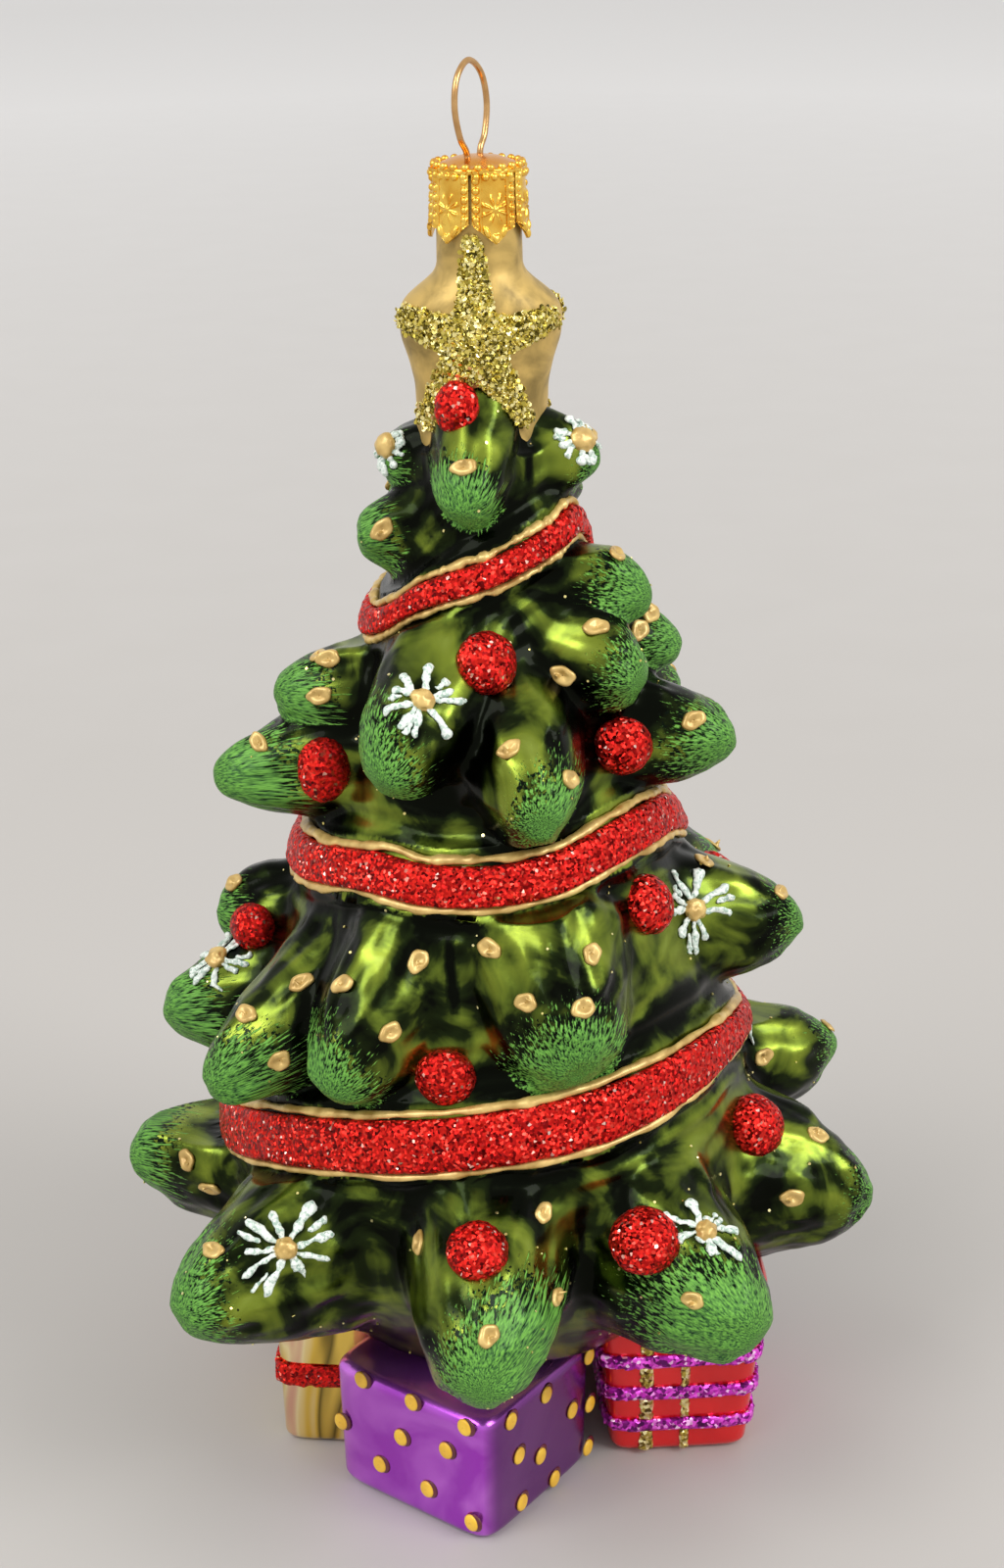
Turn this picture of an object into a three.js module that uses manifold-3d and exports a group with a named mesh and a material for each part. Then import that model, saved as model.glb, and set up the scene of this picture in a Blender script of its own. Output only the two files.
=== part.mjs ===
// A blown-glass christmas tree ornament in millimetres, +Z up, standing on the floor plane z = 0.
// The star faces -Y. Azimuths are in degrees from the front, growing towards +X.
// One hollow glass bulb carries the neck, star, tree and gifts. Glitter and piping lie on it as thin
// coats, and a stamped crown cap with a wire loop closes its neck.

import * as THREE from 'three';
import Module from 'manifold-3d';
import { mergeVertices } from 'three/addons/utils/BufferGeometryUtils.js';

const wasm = await Module();
wasm.setup();
const { Manifold } = wasm;

// Glass bulb
const WALL = 1;
const NECK_RADIUS = 4.5;
const NECK_RIM_Z = 153.6;
const NECK_LIP = 0.5;
const STAR_Z = 136.3;
const STAR_HALF_WIDTH = 8.9;
const STAR_HALF_DEPTH = 6.2;
const STAR_TURN = -6;
const TREE_FOOT_Z = 18.5;
const TREE_FOOT_RADIUS = 22;
const TREE_SKIRT_Z = 38;
const TREE_SKIRT_RADIUS = 32;
const TREE_TOP_Z = 124;
const TREE_TOP_RADIUS = 7.8;

// A branch is a blunt cone that starts ROOT_DEPTH inside the trunk and ends in a round nose
const ROOT_DEPTH = 6;
const BRANCH_TALL = 1.12;
const NOSE_POWER = 6;

// Branches from the top tier down: azimuth and reach of the tip, height of the tip and of the root,
// half width at the root and radius of the nose.
const BRANCHES = [
  { azimuth: -8, reach: 12.8, tip: 118.8, root: 127, half: 5.2, nose: 3.6 },
  { azimuth: -92, reach: 11.8, tip: 122, root: 123, half: 4.4, nose: 3 },
  { azimuth: 80, reach: 12.8, tip: 122, root: 124, half: 4.8, nose: 3 },
  { azimuth: 172, reach: 12.5, tip: 119, root: 126, half: 5, nose: 3.4 },
  { azimuth: -80, reach: 14.5, tip: 113.5, root: 115.5, half: 5.5, nose: 3.3 },
  { azimuth: 135, reach: 14.5, tip: 116.5, root: 119, half: 5, nose: 3.2 },
  { azimuth: -135, reach: 14.5, tip: 114, root: 117, half: 5.4, nose: 3.2 },
  { azimuth: 70, reach: 19.6, tip: 108, root: 110, half: 6, nose: 3.2 },
  { azimuth: 150, reach: 20.5, tip: 100.5, root: 102, half: 6.2, nose: 3.2 },
  { azimuth: -145, reach: 20.5, tip: 98.5, root: 100, half: 6.4, nose: 3.2 },
  { azimuth: -80, reach: 24.5, tip: 96.5, root: 96.5, half: 6.2, nose: 3.2 },
  { azimuth: -26, reach: 26, tip: 92.5, root: 100, half: 8.4, nose: 4.6 },
  { azimuth: 55, reach: 21, tip: 100, root: 102, half: 7, nose: 3.8 },
  { azimuth: 95, reach: 22.5, tip: 100, root: 100.5, half: 6, nose: 3.2 },
  { azimuth: -80, reach: 31.8, tip: 87, root: 88, half: 7.5, nose: 3.7 },
  { azimuth: 13, reach: 26, tip: 88.3, root: 93.5, half: 8.6, nose: 4.4 },
  { azimuth: 77, reach: 28.5, tip: 90.5, root: 92, half: 8, nose: 3.7 },
  { azimuth: 128, reach: 29, tip: 89, root: 91, half: 8, nose: 3.7 },
  { azimuth: -172, reach: 29, tip: 89, root: 91, half: 8, nose: 3.8 },
  { azimuth: -128, reach: 29, tip: 88, root: 90, half: 8, nose: 3.7 },
  { azimuth: -97, reach: 33, tip: 66.5, root: 66.5, half: 6.6, nose: 3.6 },
  { azimuth: -88, reach: 40, tip: 55.5, root: 58, half: 8, nose: 3.7 },
  { azimuth: -56, reach: 38.8, tip: 55.4, root: 63.5, half: 8, nose: 4.1 },
  { azimuth: -31, reach: 34, tip: 58.5, root: 67, half: 8.4, nose: 4.6 },
  { azimuth: 17, reach: 31.5, tip: 60.5, root: 68, half: 10.6, nose: 5.6 },
  { azimuth: 85, reach: 36.8, tip: 66.5, root: 67, half: 9, nose: 3.9 },
  { azimuth: 131, reach: 38, tip: 62, root: 65, half: 9, nose: 4 },
  { azimuth: 174, reach: 38, tip: 60, root: 64, half: 9, nose: 4 },
  { azimuth: -138, reach: 38, tip: 57.5, root: 61, half: 9, nose: 4 },
  { azimuth: -91, reach: 45.5, tip: 35, root: 34.5, half: 10.4, nose: 4.3 },
  { azimuth: -47, reach: 48.2, tip: 33.2, root: 35, half: 11.6, nose: 4.8 },
  { azimuth: -2, reach: 47.4, tip: 32.7, root: 38, half: 10.6, nose: 5.8 },
  { azimuth: 37, reach: 47.7, tip: 32.7, root: 36, half: 11.4, nose: 5 },
  { azimuth: 79, reach: 46.5, tip: 33, root: 35, half: 12, nose: 4.6 },
  { azimuth: 106, reach: 45, tip: 42, root: 42.5, half: 9, nose: 4 },
  { azimuth: 143, reach: 46, tip: 34.5, root: 36, half: 11.5, nose: 4.6 },
  { azimuth: -178, reach: 47.4, tip: 34, root: 36, half: 11, nose: 4.6 },
  { azimuth: -136, reach: 46, tip: 34.5, root: 35.5, half: 11.5, nose: 4.6 },
];

// Gifts moulded into the foot: front corner, turn about Z in degrees, size, and flare of the top
const GIFTS = {
  purple: { corner: [-1.6, -31.7], turn: 53, width: 21.5, depth: 23, height: 17, flare: 0.3 },
  plaid: { corner: [13.6, -14.4], turn: 3, width: 17, depth: 20, height: 25, flare: 2.2 },
  gold: { corner: [-27.2, -10.8], turn: -6, width: 16, depth: 18, height: 22, flare: 0.4 },
  back_left: { corner: [-22, 12], turn: 12, width: 18, depth: 15, height: 22, flare: 0.6 },
  back_right: { corner: [3, 14], turn: -10, width: 19, depth: 14, height: 22, flare: 0.6 },
};
const GIFT_CORNER = 2.2;
const GIFT_EDGE = 1;

// Coats on the glass
const SKIN_GAP = 0.3;
const GLITTER = 1.1;
const PAINT = 0.5;
const PIPING_RADIUS = 0.45;

// Garlands are ridges of the glass with a glitter face and piping along both edges: half height, and
// the height of the middle line at azimuths round the tree, with what the half height loses there
const RIDGE = 0.5;
const RIDGE_MOST = 0.4;
const GARLANDS = [
  { half: 1.5, line: [[-80, 104.6], [-58, 106.1], [-37, 109.2], [-17, 111], [2, 112.3], [23, 113.9], [46, 115.3],
    [72, 116.2], [93, 113], [115, 110.3], [150, 109], [200, 107.5], [245, 105.5]] },
  { half: 2.1, line: [[-70, 78], [-51, 79.4], [-35, 80.2], [-19, 79.9], [5, 80.2], [20, 80.9], [37, 82.2],
    [56, 82.7], [76, 81.8], [97, 78.6], [140, 78], [200, 77.6], [250, 77]] },
  { half: 2.9, line: [[-76, 44], [-55, 47.6], [-40, 49.9], [-26, 51.5], [-1, 53.5], [24, 54.9], [50, 56.1, 0.3],
    [68, 56, 1], [83, 54.6, 1.3], [97, 52.4, 1.3], [135, 51.4, 0.8], [180, 49.5], [220, 46.5], [258, 44]] },
];

// Glitter baubles: azimuth, height and radius
const BAUBLES = [
  [-18, 129.5, 2.7], [0, 103.2, 3.5], [56, 91.8, 3.3], [-65, 89, 3], [-87, 66.3, 3], [52, 74, 3.4],
  [-11, 59.5, 3.4], [70, 44, 3.7], [27, 41.6, 3.9], [-3, 44.6, 3.4],
  [148, 102, 3.2], [-150, 97, 3.2], [100, 69, 3.4], [-160, 69, 3.4], [150, 41, 3.6], [-128, 37, 3.6],
];

// Snowflakes: azimuth and height of the middle
const SNOWFLAKES = [[-19, 101], [-38, 40], [70, 71], [36, 42.5], [104, 49.5], [-85, 63], [72, 125], [-84, 124],
  [172, 67]];
const FLAKE_REACH = 4.6;
const FLAKE_STROKE = 0.9;
const FLAKE_STROKES = 8;
const FLAKE_DOT = 1.3;

// Crown cap and wire hanger
const FIT = 0.3;
const CAP_SHEET = 0.35;
const CAP_HEIGHT = 7.9;
const CAP_DOME = 0.8;
const CAP_FLARE = 0.25;
const CAP_PETALS = 6;
const CAP_TURN = -10;
const CAP_SLIT = 0.35;
const PETAL_POINT = 2.1;
const BEAD_RADIUS = 0.36;
const BEADS = 18;
const PETAL_EDGE = 0.5;
const WIRE_RADIUS = 0.34;
const WIRE_HOLE = 0.75;
const LOOP_WIDTH = 8;
const LOOP_HEIGHT = 10.75;
const LEG_SPACING = 3.2;
const LEG_SPREAD = 4.4;
const LEG_LENGTH = 14.5;
const LOOP_TURN = 63;
const LOOP_SHIFT = -0.4;
const LOOP_LEAN = -0.04;

// Ribbons on the gifts, as bars in the gift's own frame: height above the floor and breadth
const BAND_THICK = 0.5;
const PLAID_ROWS = [4.6, 9.5, 14.4, 19.3];
const PLAID_COLUMNS = [-4.2, 0.5];
const PLAID_BREADTH = 1.4;
const RIBBON_ROW = 10.2;
const RIBBON_BREADTH = 3.1;

// How finely round forms are cut into flats
const RING_SIDES = 30;
const BRANCH_SIDES = 8;
const STAR_SIDES = 16;
const FACET = 0.13;

const DEG = Math.PI / 180;
const UP = new THREE.Vector3(0, 0, 1);

const outward = (azimuth) => new THREE.Vector3(Math.sin(azimuth * DEG), -Math.cos(azimuth * DEG), 0);
const sideways = (azimuth) => new THREE.Vector3(Math.cos(azimuth * DEG), Math.sin(azimuth * DEG), 0);
const at = (azimuth, radius, z) => outward(azimuth).multiplyScalar(radius).setZ(z);
const mix = (a, b, t) => a + (b - a) * t;

// Closed geometry to solid: shared corners are merged and the lathe's empty triangles on its axis dropped
function toSolid(geometry) {
  const bare = geometry.clone();
  bare.deleteAttribute('normal');
  bare.deleteAttribute('uv');
  const merged = mergeVertices(bare, 1e-4);
  const corners = merged.index.array;
  const kept = [];
  for (let i = 0; i < corners.length; i += 3) {
    const [a, b, c] = [corners[i], corners[i + 1], corners[i + 2]];
    if (a !== b && b !== c && c !== a) kept.push(a, b, c);
  }
  return new Manifold(new wasm.Mesh({
    numProp: 3,
    vertProperties: Float32Array.from(merged.attributes.position.array),
    triVerts: Uint32Array.from(kept),
  }));
}

// Cut edges leave slivers: corners that move the surface by less than FACET are dropped
function toGeometry(solid) {
  const { vertProperties, triVerts } = solid.asOriginal().simplify(FACET).getMesh();
  const geometry = new THREE.BufferGeometry();
  geometry.setAttribute('position', new THREE.BufferAttribute(vertProperties, 3));
  geometry.setIndex(new THREE.BufferAttribute(triVerts, 1));
  geometry.computeVertexNormals();
  return geometry;
}

const union = (solids) => solids.reduce((whole, next) => whole.add(next));
const largest = (solid) => solid.decompose().sort((a, b) => b.volume() - a.volume())[0];

// Turned solid about Z from [radius, height] points that run from the foot to the top
function turned(profile, sides) {
  const points = profile.map(([radius, z]) => new THREE.Vector2(radius, z));
  return new THREE.LatheGeometry(points, sides).rotateX(Math.PI / 2);
}

// Radius of the trunk: it swells from the foot to the skirt, and then tapers between a cone and a bell
function trunkRadius(z) {
  if (z < TREE_SKIRT_Z) {
    const rise = Math.max(0, (z - TREE_FOOT_Z) / (TREE_SKIRT_Z - TREE_FOOT_Z));
    return mix(TREE_FOOT_RADIUS, TREE_SKIRT_RADIUS, Math.sin(rise * Math.PI / 2));
  }
  const rise = Math.min(1, (z - TREE_SKIRT_Z) / (TREE_TOP_Z - TREE_SKIRT_Z));
  const cone = 1 - rise;
  const bell = (1 + Math.cos(rise * Math.PI)) / 2;
  return mix(TREE_TOP_RADIUS, TREE_SKIRT_RADIUS, (cone + bell) / 2);
}

function trunk(grow, sides) {
  const [below, above] = [3, 6];
  const levels = Array.from({ length: below + above + 1 }, (_, i) => (i < below
    ? mix(TREE_FOOT_Z, TREE_SKIRT_Z, i / below)
    : mix(TREE_SKIRT_Z, TREE_TOP_Z, (i - below) / above)));
  const skin = levels.map((z) => [trunkRadius(z) + grow, z]);
  skin[0][1] -= grow;
  skin.at(-1)[1] += grow;
  return toSolid(turned([[0, skin[0][1]], ...skin, [0, skin.at(-1)[1]]], sides));
}

// A branch's own frame: x to its side, y along it, z through its height
function branchFrame({ azimuth, reach, tip, root, half, nose }) {
  const start = at(azimuth, Math.max(1, trunkRadius(root) - ROOT_DEPTH), root);
  const along = at(azimuth, reach, tip).sub(start);
  const length = along.length();
  const side = sideways(azimuth);
  const direction = along.normalize();
  const height = new THREE.Vector3().crossVectors(side, direction).multiplyScalar(BRANCH_TALL);
  const matrix = new THREE.Matrix4().makeBasis(side, direction, height).setPosition(start);
  return { matrix, inverse: matrix.clone().invert(), length, half, nose };
}
const FRAMES = BRANCHES.map(branchFrame);

// Half width along a branch: a straight taper closed by a round nose
const girth = ({ half, nose }, t) => mix(half, nose, t) * Math.sqrt(Math.max(0, 1 - t ** NOSE_POWER));

// The flats of the skin lie half inside and half outside the round section, those of the cavity inside it
function branch({ matrix, length, half, nose }, grow, steps, sides) {
  const even = grow < 0 ? 1 : Math.cos(Math.PI / sides) ** -0.5;
  const radius = (half + grow) * even;
  const profile = [new THREE.Vector2(0, -radius), new THREE.Vector2(radius * 0.8, -radius * 0.6)];
  for (let i = 0; i <= steps; i++) {
    const t = 1 - (1 - i / steps) ** 2;
    const wide = i === steps ? 0 : girth({ half: radius, nose: (nose + grow) * even }, t);
    profile.push(new THREE.Vector2(wide, (length + grow) * t));
  }
  return toSolid(new THREE.LatheGeometry(profile, sides).applyMatrix4(matrix));
}

// Neck and star: elliptical sections as height above the star's middle, half width and half depth
function starSections(grow) {
  const width = STAR_HALF_WIDTH;
  const depth = STAR_HALF_DEPTH;
  const neck = NECK_RADIUS;
  const rim = NECK_RIM_Z - STAR_Z;
  return [
    [-15.5, 7.3, 6.6], [-11.1, 7.5, 6.4], [-8.6, 7.2, 6], [-5.4, 7.3, 5.8], [-2.8, 7.9, 6],
    [-0.4, width - 0.2, depth], [1.9, width, depth], [3.6, width - 0.5, depth - 0.3],
    [4.9, mix(neck, width, 0.56), mix(neck, depth, 0.6)], [6, mix(neck, width, 0.22), mix(neck, depth, 0.3)],
    [7, neck + 0.15, neck + 0.15], [rim - 0.8, neck, neck],
    [rim, neck - NECK_LIP, neck - NECK_LIP],
  ].map(([z, x, y]) => [z + STAR_Z, x + grow, y + grow]);
}

function star(grow, sides) {
  const sections = starSections(grow);
  const last = sections.length - 1;
  sections[last][0] += grow;
  const profile = [[0, sections[0][0]], ...sections.map(([z, x]) => [x, z]), [0, sections[last][0]]];
  const geometry = turned(profile, sides);
  const { position } = geometry.attributes;
  for (let i = 0; i < position.count; i++) {
    const z = position.getZ(i);
    const section = sections.find((candidate) => Math.abs(candidate[0] - z) < 1e-3);
    position.setY(i, position.getY(i) * section[2] / section[1]);
  }
  return toSolid(geometry);
}

// A rounded rectangle round the middle of the gift
function giftOutline(width, depth, corner) {
  const [x, y] = [width / 2, depth / 2];
  const shape = new THREE.Shape();
  shape.absarc(x - corner, y - corner, corner, 0, Math.PI / 2);
  shape.absarc(corner - x, y - corner, corner, Math.PI / 2, Math.PI);
  shape.absarc(corner - x, corner - y, corner, Math.PI, Math.PI * 1.5);
  shape.absarc(x - corner, corner - y, corner, Math.PI * 1.5, Math.PI * 2);
  return shape;
}

function giftFrame({ corner, turn, width, depth }) {
  const spin = new THREE.Matrix4().makeRotationZ(turn * DEG);
  const middle = new THREE.Vector3(width / 2, depth / 2, 0).applyMatrix4(spin);
  return spin.setPosition(corner[0] + middle.x, corner[1] + middle.y, 0);
}

function gift(wrap, grow) {
  const { width, depth, height, flare } = wrap;
  const outline = giftOutline(width + 2 * grow, depth + 2 * grow, GIFT_CORNER + grow);
  const geometry = new THREE.ExtrudeGeometry(outline, {
    depth: height + 2 * grow - 2 * GIFT_EDGE,
    bevelThickness: GIFT_EDGE,
    bevelSize: GIFT_EDGE,
    bevelOffset: -GIFT_EDGE,
    bevelSegments: 1,
    curveSegments: 1,
  }).translate(0, 0, GIFT_EDGE - grow);
  const { position } = geometry.attributes;
  for (let i = 0; i < position.count; i++) {
    const spread = flare * position.getZ(i) / height;
    position.setX(i, position.getX(i) * (1 + spread * 2 / width));
    position.setY(i, position.getY(i) * (1 + spread * 2 / depth));
  }
  return toSolid(geometry.applyMatrix4(giftFrame(wrap)));
}

// Branches with a channel left free for each garland
const branches = (grow, steps, sides) => union(FRAMES.map((frame) => branch(frame, grow, steps, sides)))
  .subtract(union(RIDGES.map((path) => channel(path, grow))));
const gifts = (grow) => union(Object.values(GIFTS).map((wrap) => gift(wrap, grow)));

const glass = (grow) => union([trunk(grow, 24), branches(grow, 4, BRANCH_SIDES), star(grow, STAR_SIDES), gifts(grow),
  ...RIDGES.map((path) => ridge(path, grow))]);

function cavity() {
  const inner = union([trunk(-WALL, 16), branches(-WALL, 2, 6), star(-WALL, 12), gifts(-WALL)]);
  const bore = NECK_RADIUS - NECK_LIP - WALL;
  const [low, high] = [NECK_RIM_Z - 4, NECK_RIM_Z + 2];
  const mouth = toSolid(turned([[0, low], [bore, low], [bore, high], [0, high]], 16));
  return largest(inner.add(mouth));
}

// How far the glass reaches from the axis at an azimuth and height, found from outside inwards
function insideBranch(frame, point) {
  const local = point.clone().applyMatrix4(frame.inverse);
  const t = local.y / frame.length;
  return t > 0 && t < 1 && Math.hypot(local.x, local.z) < girth(frame, t);
}

function reachAt(azimuth, z) {
  const core = z > TREE_TOP_Z ? STAR_HALF_DEPTH : trunkRadius(z);
  for (let radius = 60; radius > core; radius -= 0.1) {
    const point = at(azimuth, radius, z);
    if (FRAMES.some((frame) => insideBranch(frame, point))) return radius;
  }
  return core;
}

// The outer surface at an azimuth and height, with its normal as the z axis
function surfaceFrame(azimuth, z) {
  const turn = 2;
  const rise = 0.8;
  const spot = (a, h) => at(a, reachAt(a, h), h);
  const across = spot(azimuth + turn, z).sub(spot(azimuth - turn, z));
  const up = spot(azimuth, z + rise).sub(spot(azimuth, z - rise));
  const normal = across.cross(up).normalize();
  const side = new THREE.Vector3().crossVectors(UP, normal).normalize();
  const top = new THREE.Vector3().crossVectors(normal, side);
  return new THREE.Matrix4().makeBasis(side, top, normal).setPosition(spot(azimuth, z));
}

// Garland line: height and loss of half height at any azimuth, through the given points of a closed curve
function garlandCurve(line) {
  const points = line.map(([azimuth, z, loss = 0]) => new THREE.Vector3(azimuth, z, loss));
  const lap = (shift) => points.map((point) => point.clone().setX(point.x + shift));
  const curve = new THREE.CatmullRomCurve3([...lap(-360), ...points, ...lap(360)], false, 'centripetal');
  const samples = curve.getPoints(600);
  return (azimuth) => {
    const next = samples.findIndex((sample) => sample.x >= azimuth);
    const [a, b] = [samples[next - 1], samples[next]];
    const t = (azimuth - a.x) / (b.x - a.x);
    return [mix(a.y, b.y, t), mix(a.z, b.z, t)];
  };
}

// How far a garland's ridge stands off the trunk: enough to pass over the roots of the branches
function ridgeLift({ half, line }) {
  const lineAt = garlandCurve(line);
  const count = 72;
  let lifts = Array.from({ length: count }, (_, i) => {
    const azimuth = i * 360 / count - 180;
    const rises = [-half, 0, half].map((up) => {
      const z = lineAt(azimuth)[0] + up;
      return reachAt(azimuth, z) - trunkRadius(z);
    });
    return RIDGE + Math.min(RIDGE_MOST, Math.max(...rises));
  });
  for (let round = 0; round < 2; round++) {
    lifts = lifts.map((lift, i) => (lifts.at(i - 1) + 2 * lift + lifts[(i + 1) % count]) / 4);
  }
  const liftAt = (azimuth) => {
    const place = ((azimuth + 180) / 360 * count + count) % count;
    const low = Math.floor(place);
    return mix(lifts[low], lifts[(low + 1) % count], place - low);
  };
  return { half, lineAt, liftAt };
}

// A closed ring round the trunk: the section's [out, up] points follow the garland's ridge
function ring(section, { half, lineAt, liftAt }, sides) {
  const core = 10;
  const points = section.map(([out, up]) => new THREE.Vector2(core + out, up));
  const geometry = new THREE.LatheGeometry([...points, points[0]], sides).rotateX(Math.PI / 2);
  const { position } = geometry.attributes;
  for (let i = 0; i < position.count; i++) {
    const [x, y, up] = [position.getX(i), position.getY(i), position.getZ(i)];
    const azimuth = Math.atan2(x, -y) / DEG;
    const [middle, loss] = lineAt(azimuth);
    const z = middle + up - Math.sign(up) * loss * Math.min(1, Math.abs(up) / half);
    const place = at(azimuth, trunkRadius(z) + liftAt(azimuth) + Math.hypot(x, y) - core, z);
    position.setXYZ(i, place.x, place.y, place.z);
  }
  return toSolid(geometry);
}
const RIDGES = GARLANDS.map(ridgeLift);
const edgeOf = (half) => half + FIT + 2 * PIPING_RADIUS;

const bar = (low, high, edge) => [[low, -edge], [high, -edge], [high, edge], [low, edge]];
const ridge = (path, grow) => ring(bar(-RIDGE_MOST - 3, grow, edgeOf(path.half) + grow), path, RING_SIDES);
const channel = (path, grow) => ring(bar(grow, 40, edgeOf(path.half) + FIT - grow), path, RING_SIDES);
const coated = (path) => ring(bar(-RIDGE_MOST - 3, SKIN_GAP + GLITTER + FIT, edgeOf(path.half) + FIT), path, RING_SIDES);

const glitterBand = ({ half }) => [[SKIN_GAP, -half], [SKIN_GAP + GLITTER * 0.6, -half], [SKIN_GAP + GLITTER, -half * 0.55],
  [SKIN_GAP + GLITTER, half * 0.55], [SKIN_GAP + GLITTER * 0.6, half], [SKIN_GAP, half]];

const pipe = (up) => [[SKIN_GAP, up], [SKIN_GAP + PIPING_RADIUS, up - PIPING_RADIUS],
  [SKIN_GAP + PIPING_RADIUS * 2, up], [SKIN_GAP + PIPING_RADIUS, up + PIPING_RADIUS]];

const clear = glass(SKIN_GAP).add(union(RIDGES.map(coated)));
const painted = glass(SKIN_GAP + PAINT);

const dome = ([azimuth, z, radius]) => {
  const { x, y, z: height } = at(azimuth, reachAt(azimuth, z), z);
  return toSolid(new THREE.SphereGeometry(radius, 9, 6).rotateX(Math.PI / 2).translate(x, y, height));
};

function snowflake(azimuth, z) {
  const deep = 5;
  const strokes = Array.from({ length: FLAKE_STROKES }, (_, i) => {
    const stroke = new THREE.BoxGeometry(FLAKE_REACH, FLAKE_STROKE, deep).translate(FLAKE_REACH / 2, 0, 0);
    return stroke.rotateZ((i + 0.3 * Math.sin(i * 2.3)) * 2 * Math.PI / FLAKE_STROKES);
  });
  const dot = new THREE.CylinderGeometry(FLAKE_DOT, FLAKE_DOT, deep, 8).rotateX(Math.PI / 2);
  const flat = union([dot, ...strokes].map(toSolid));
  return placed(flat, surfaceFrame(azimuth, z));
}

const placed = (solid, matrix) => solid.transform(matrix.toArray());

// Star glitter: five tips as angle and reach, with the notches between them
function starOutline() {
  const tips = [[90, 10.6], [14, 10.6], [-58, 12.2], [-122, 12.4], [166, 9.8]];
  const notch = 4.2;
  const shape = new THREE.Shape();
  tips.forEach(([angle, reach], i) => {
    const next = tips[(i + 1) % tips.length][0];
    const between = angle + ((next - angle - 540) % 360 + 180) / 2;
    const tip = [Math.cos(angle * DEG) * reach, Math.sin(angle * DEG) * reach];
    const dip = [Math.cos(between * DEG) * notch, Math.sin(between * DEG) * notch];
    if (i === 0) shape.moveTo(...tip);
    else shape.lineTo(...tip);
    shape.lineTo(...dip);
  });
  shape.closePath();
  return shape;
}

function starGlitter(back) {
  const slab = new THREE.ExtrudeGeometry(starOutline(), { depth: 14, bevelEnabled: false });
  slab.rotateX(Math.PI / 2).translate(0, -FIT, STAR_Z).rotateZ(STAR_TURN * DEG + (back ? Math.PI : 0));
  return largest(toSolid(slab).intersect(star(SKIN_GAP + PAINT + FIT, STAR_SIDES)).subtract(spared));
}

// Crown cap: a stamped cup with a bead row on its rim, slits, and pointed petals with raised edges, open below
const CAP_TOP_Z = NECK_RIM_Z + FIT + CAP_SHEET;
const CAP_RADIUS = NECK_RADIUS + FIT + CAP_SHEET;

function crownCap() {
  const foot = CAP_TOP_Z - CAP_HEIGHT;
  const outer = [[CAP_RADIUS + CAP_FLARE, foot], [CAP_RADIUS + 0.08, foot + 3.4], [CAP_RADIUS, CAP_TOP_Z - 1],
    [CAP_RADIUS - 0.15, CAP_TOP_Z - 0.3], [CAP_RADIUS - 0.9, CAP_TOP_Z],
    [CAP_RADIUS * 0.5, CAP_TOP_Z + CAP_DOME * 0.8], [0, CAP_TOP_Z + CAP_DOME]];
  const inner = outer.map(([radius, z], i) => [Math.max(0, radius - CAP_SHEET), i < 2 ? z : z - CAP_SHEET]);
  const cup = toSolid(turned([...outer, ...inner.reverse(), outer[0]], 24));
  const pitch = 360 / CAP_PETALS;
  const reach = Math.PI * (CAP_RADIUS + CAP_FLARE) / CAP_PETALS;
  const slit = CAP_SLIT / 2;
  const tall = CAP_HEIGHT - 1.4;
  const cut = new THREE.Shape([[-slit, tall], [-slit, PETAL_POINT], [-reach, -0.1], [reach, -0.1],
    [slit, PETAL_POINT], [slit, tall]].map(([x, y]) => new THREE.Vector2(x, y)));
  const cutter = new THREE.ExtrudeGeometry(cut, { depth: 6, bevelEnabled: false });
  cutter.rotateX(Math.PI / 2).translate(0, -2, foot);
  const slits = Array.from({ length: CAP_PETALS }, (_, i) =>
    toSolid(cutter.clone().rotateZ((CAP_TURN + i * pitch) * DEG)));
  const holes = [-1, 1].map((end) => {
    const hole = new THREE.CylinderGeometry(WIRE_HOLE, WIRE_HOLE, 4, 10).rotateX(Math.PI / 2);
    const { x, y } = hangerPoint(end * LEG_SPACING / 2, CAP_TOP_Z);
    return toSolid(hole.translate(x, y, CAP_TOP_Z));
  });
  const bead = (azimuth, radius, z) => {
    const place = at(azimuth, radius, z);
    return toSolid(new THREE.OctahedronGeometry(BEAD_RADIUS).rotateZ(azimuth * DEG).translate(place.x, place.y, z));
  };
  const rim = Array.from({ length: BEADS }, (_, i) => bead(i * 360 / BEADS, CAP_RADIUS + 0.05, CAP_TOP_Z - 0.7));
  const edges = Array.from({ length: CAP_PETALS * 2 }, (_, i) => {
    const azimuth = CAP_TURN + (i >> 1) * pitch + (i % 2 ? -1 : 1) * 7.5;
    const place = at(azimuth, CAP_RADIUS, CAP_TOP_Z - 3.7);
    const edge = new THREE.BoxGeometry(PETAL_EDGE, PETAL_EDGE, 4.4).rotateZ(azimuth * DEG);
    return toSolid(edge.translate(place.x, place.y, place.z));
  });
  return union([cup, ...rim, ...edges]).subtract(union([...slits, ...holes]));
}

// Wire hanger: a point in the plane of the loop, from its distance off the middle and its height
function hangerPoint(across, z) {
  const turn = LOOP_TURN * DEG;
  const lean = LOOP_SHIFT + LOOP_LEAN * Math.max(0, z - CAP_TOP_Z);
  return new THREE.Vector3(Math.cos(turn) * across + lean, Math.sin(turn) * across, z);
}

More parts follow.
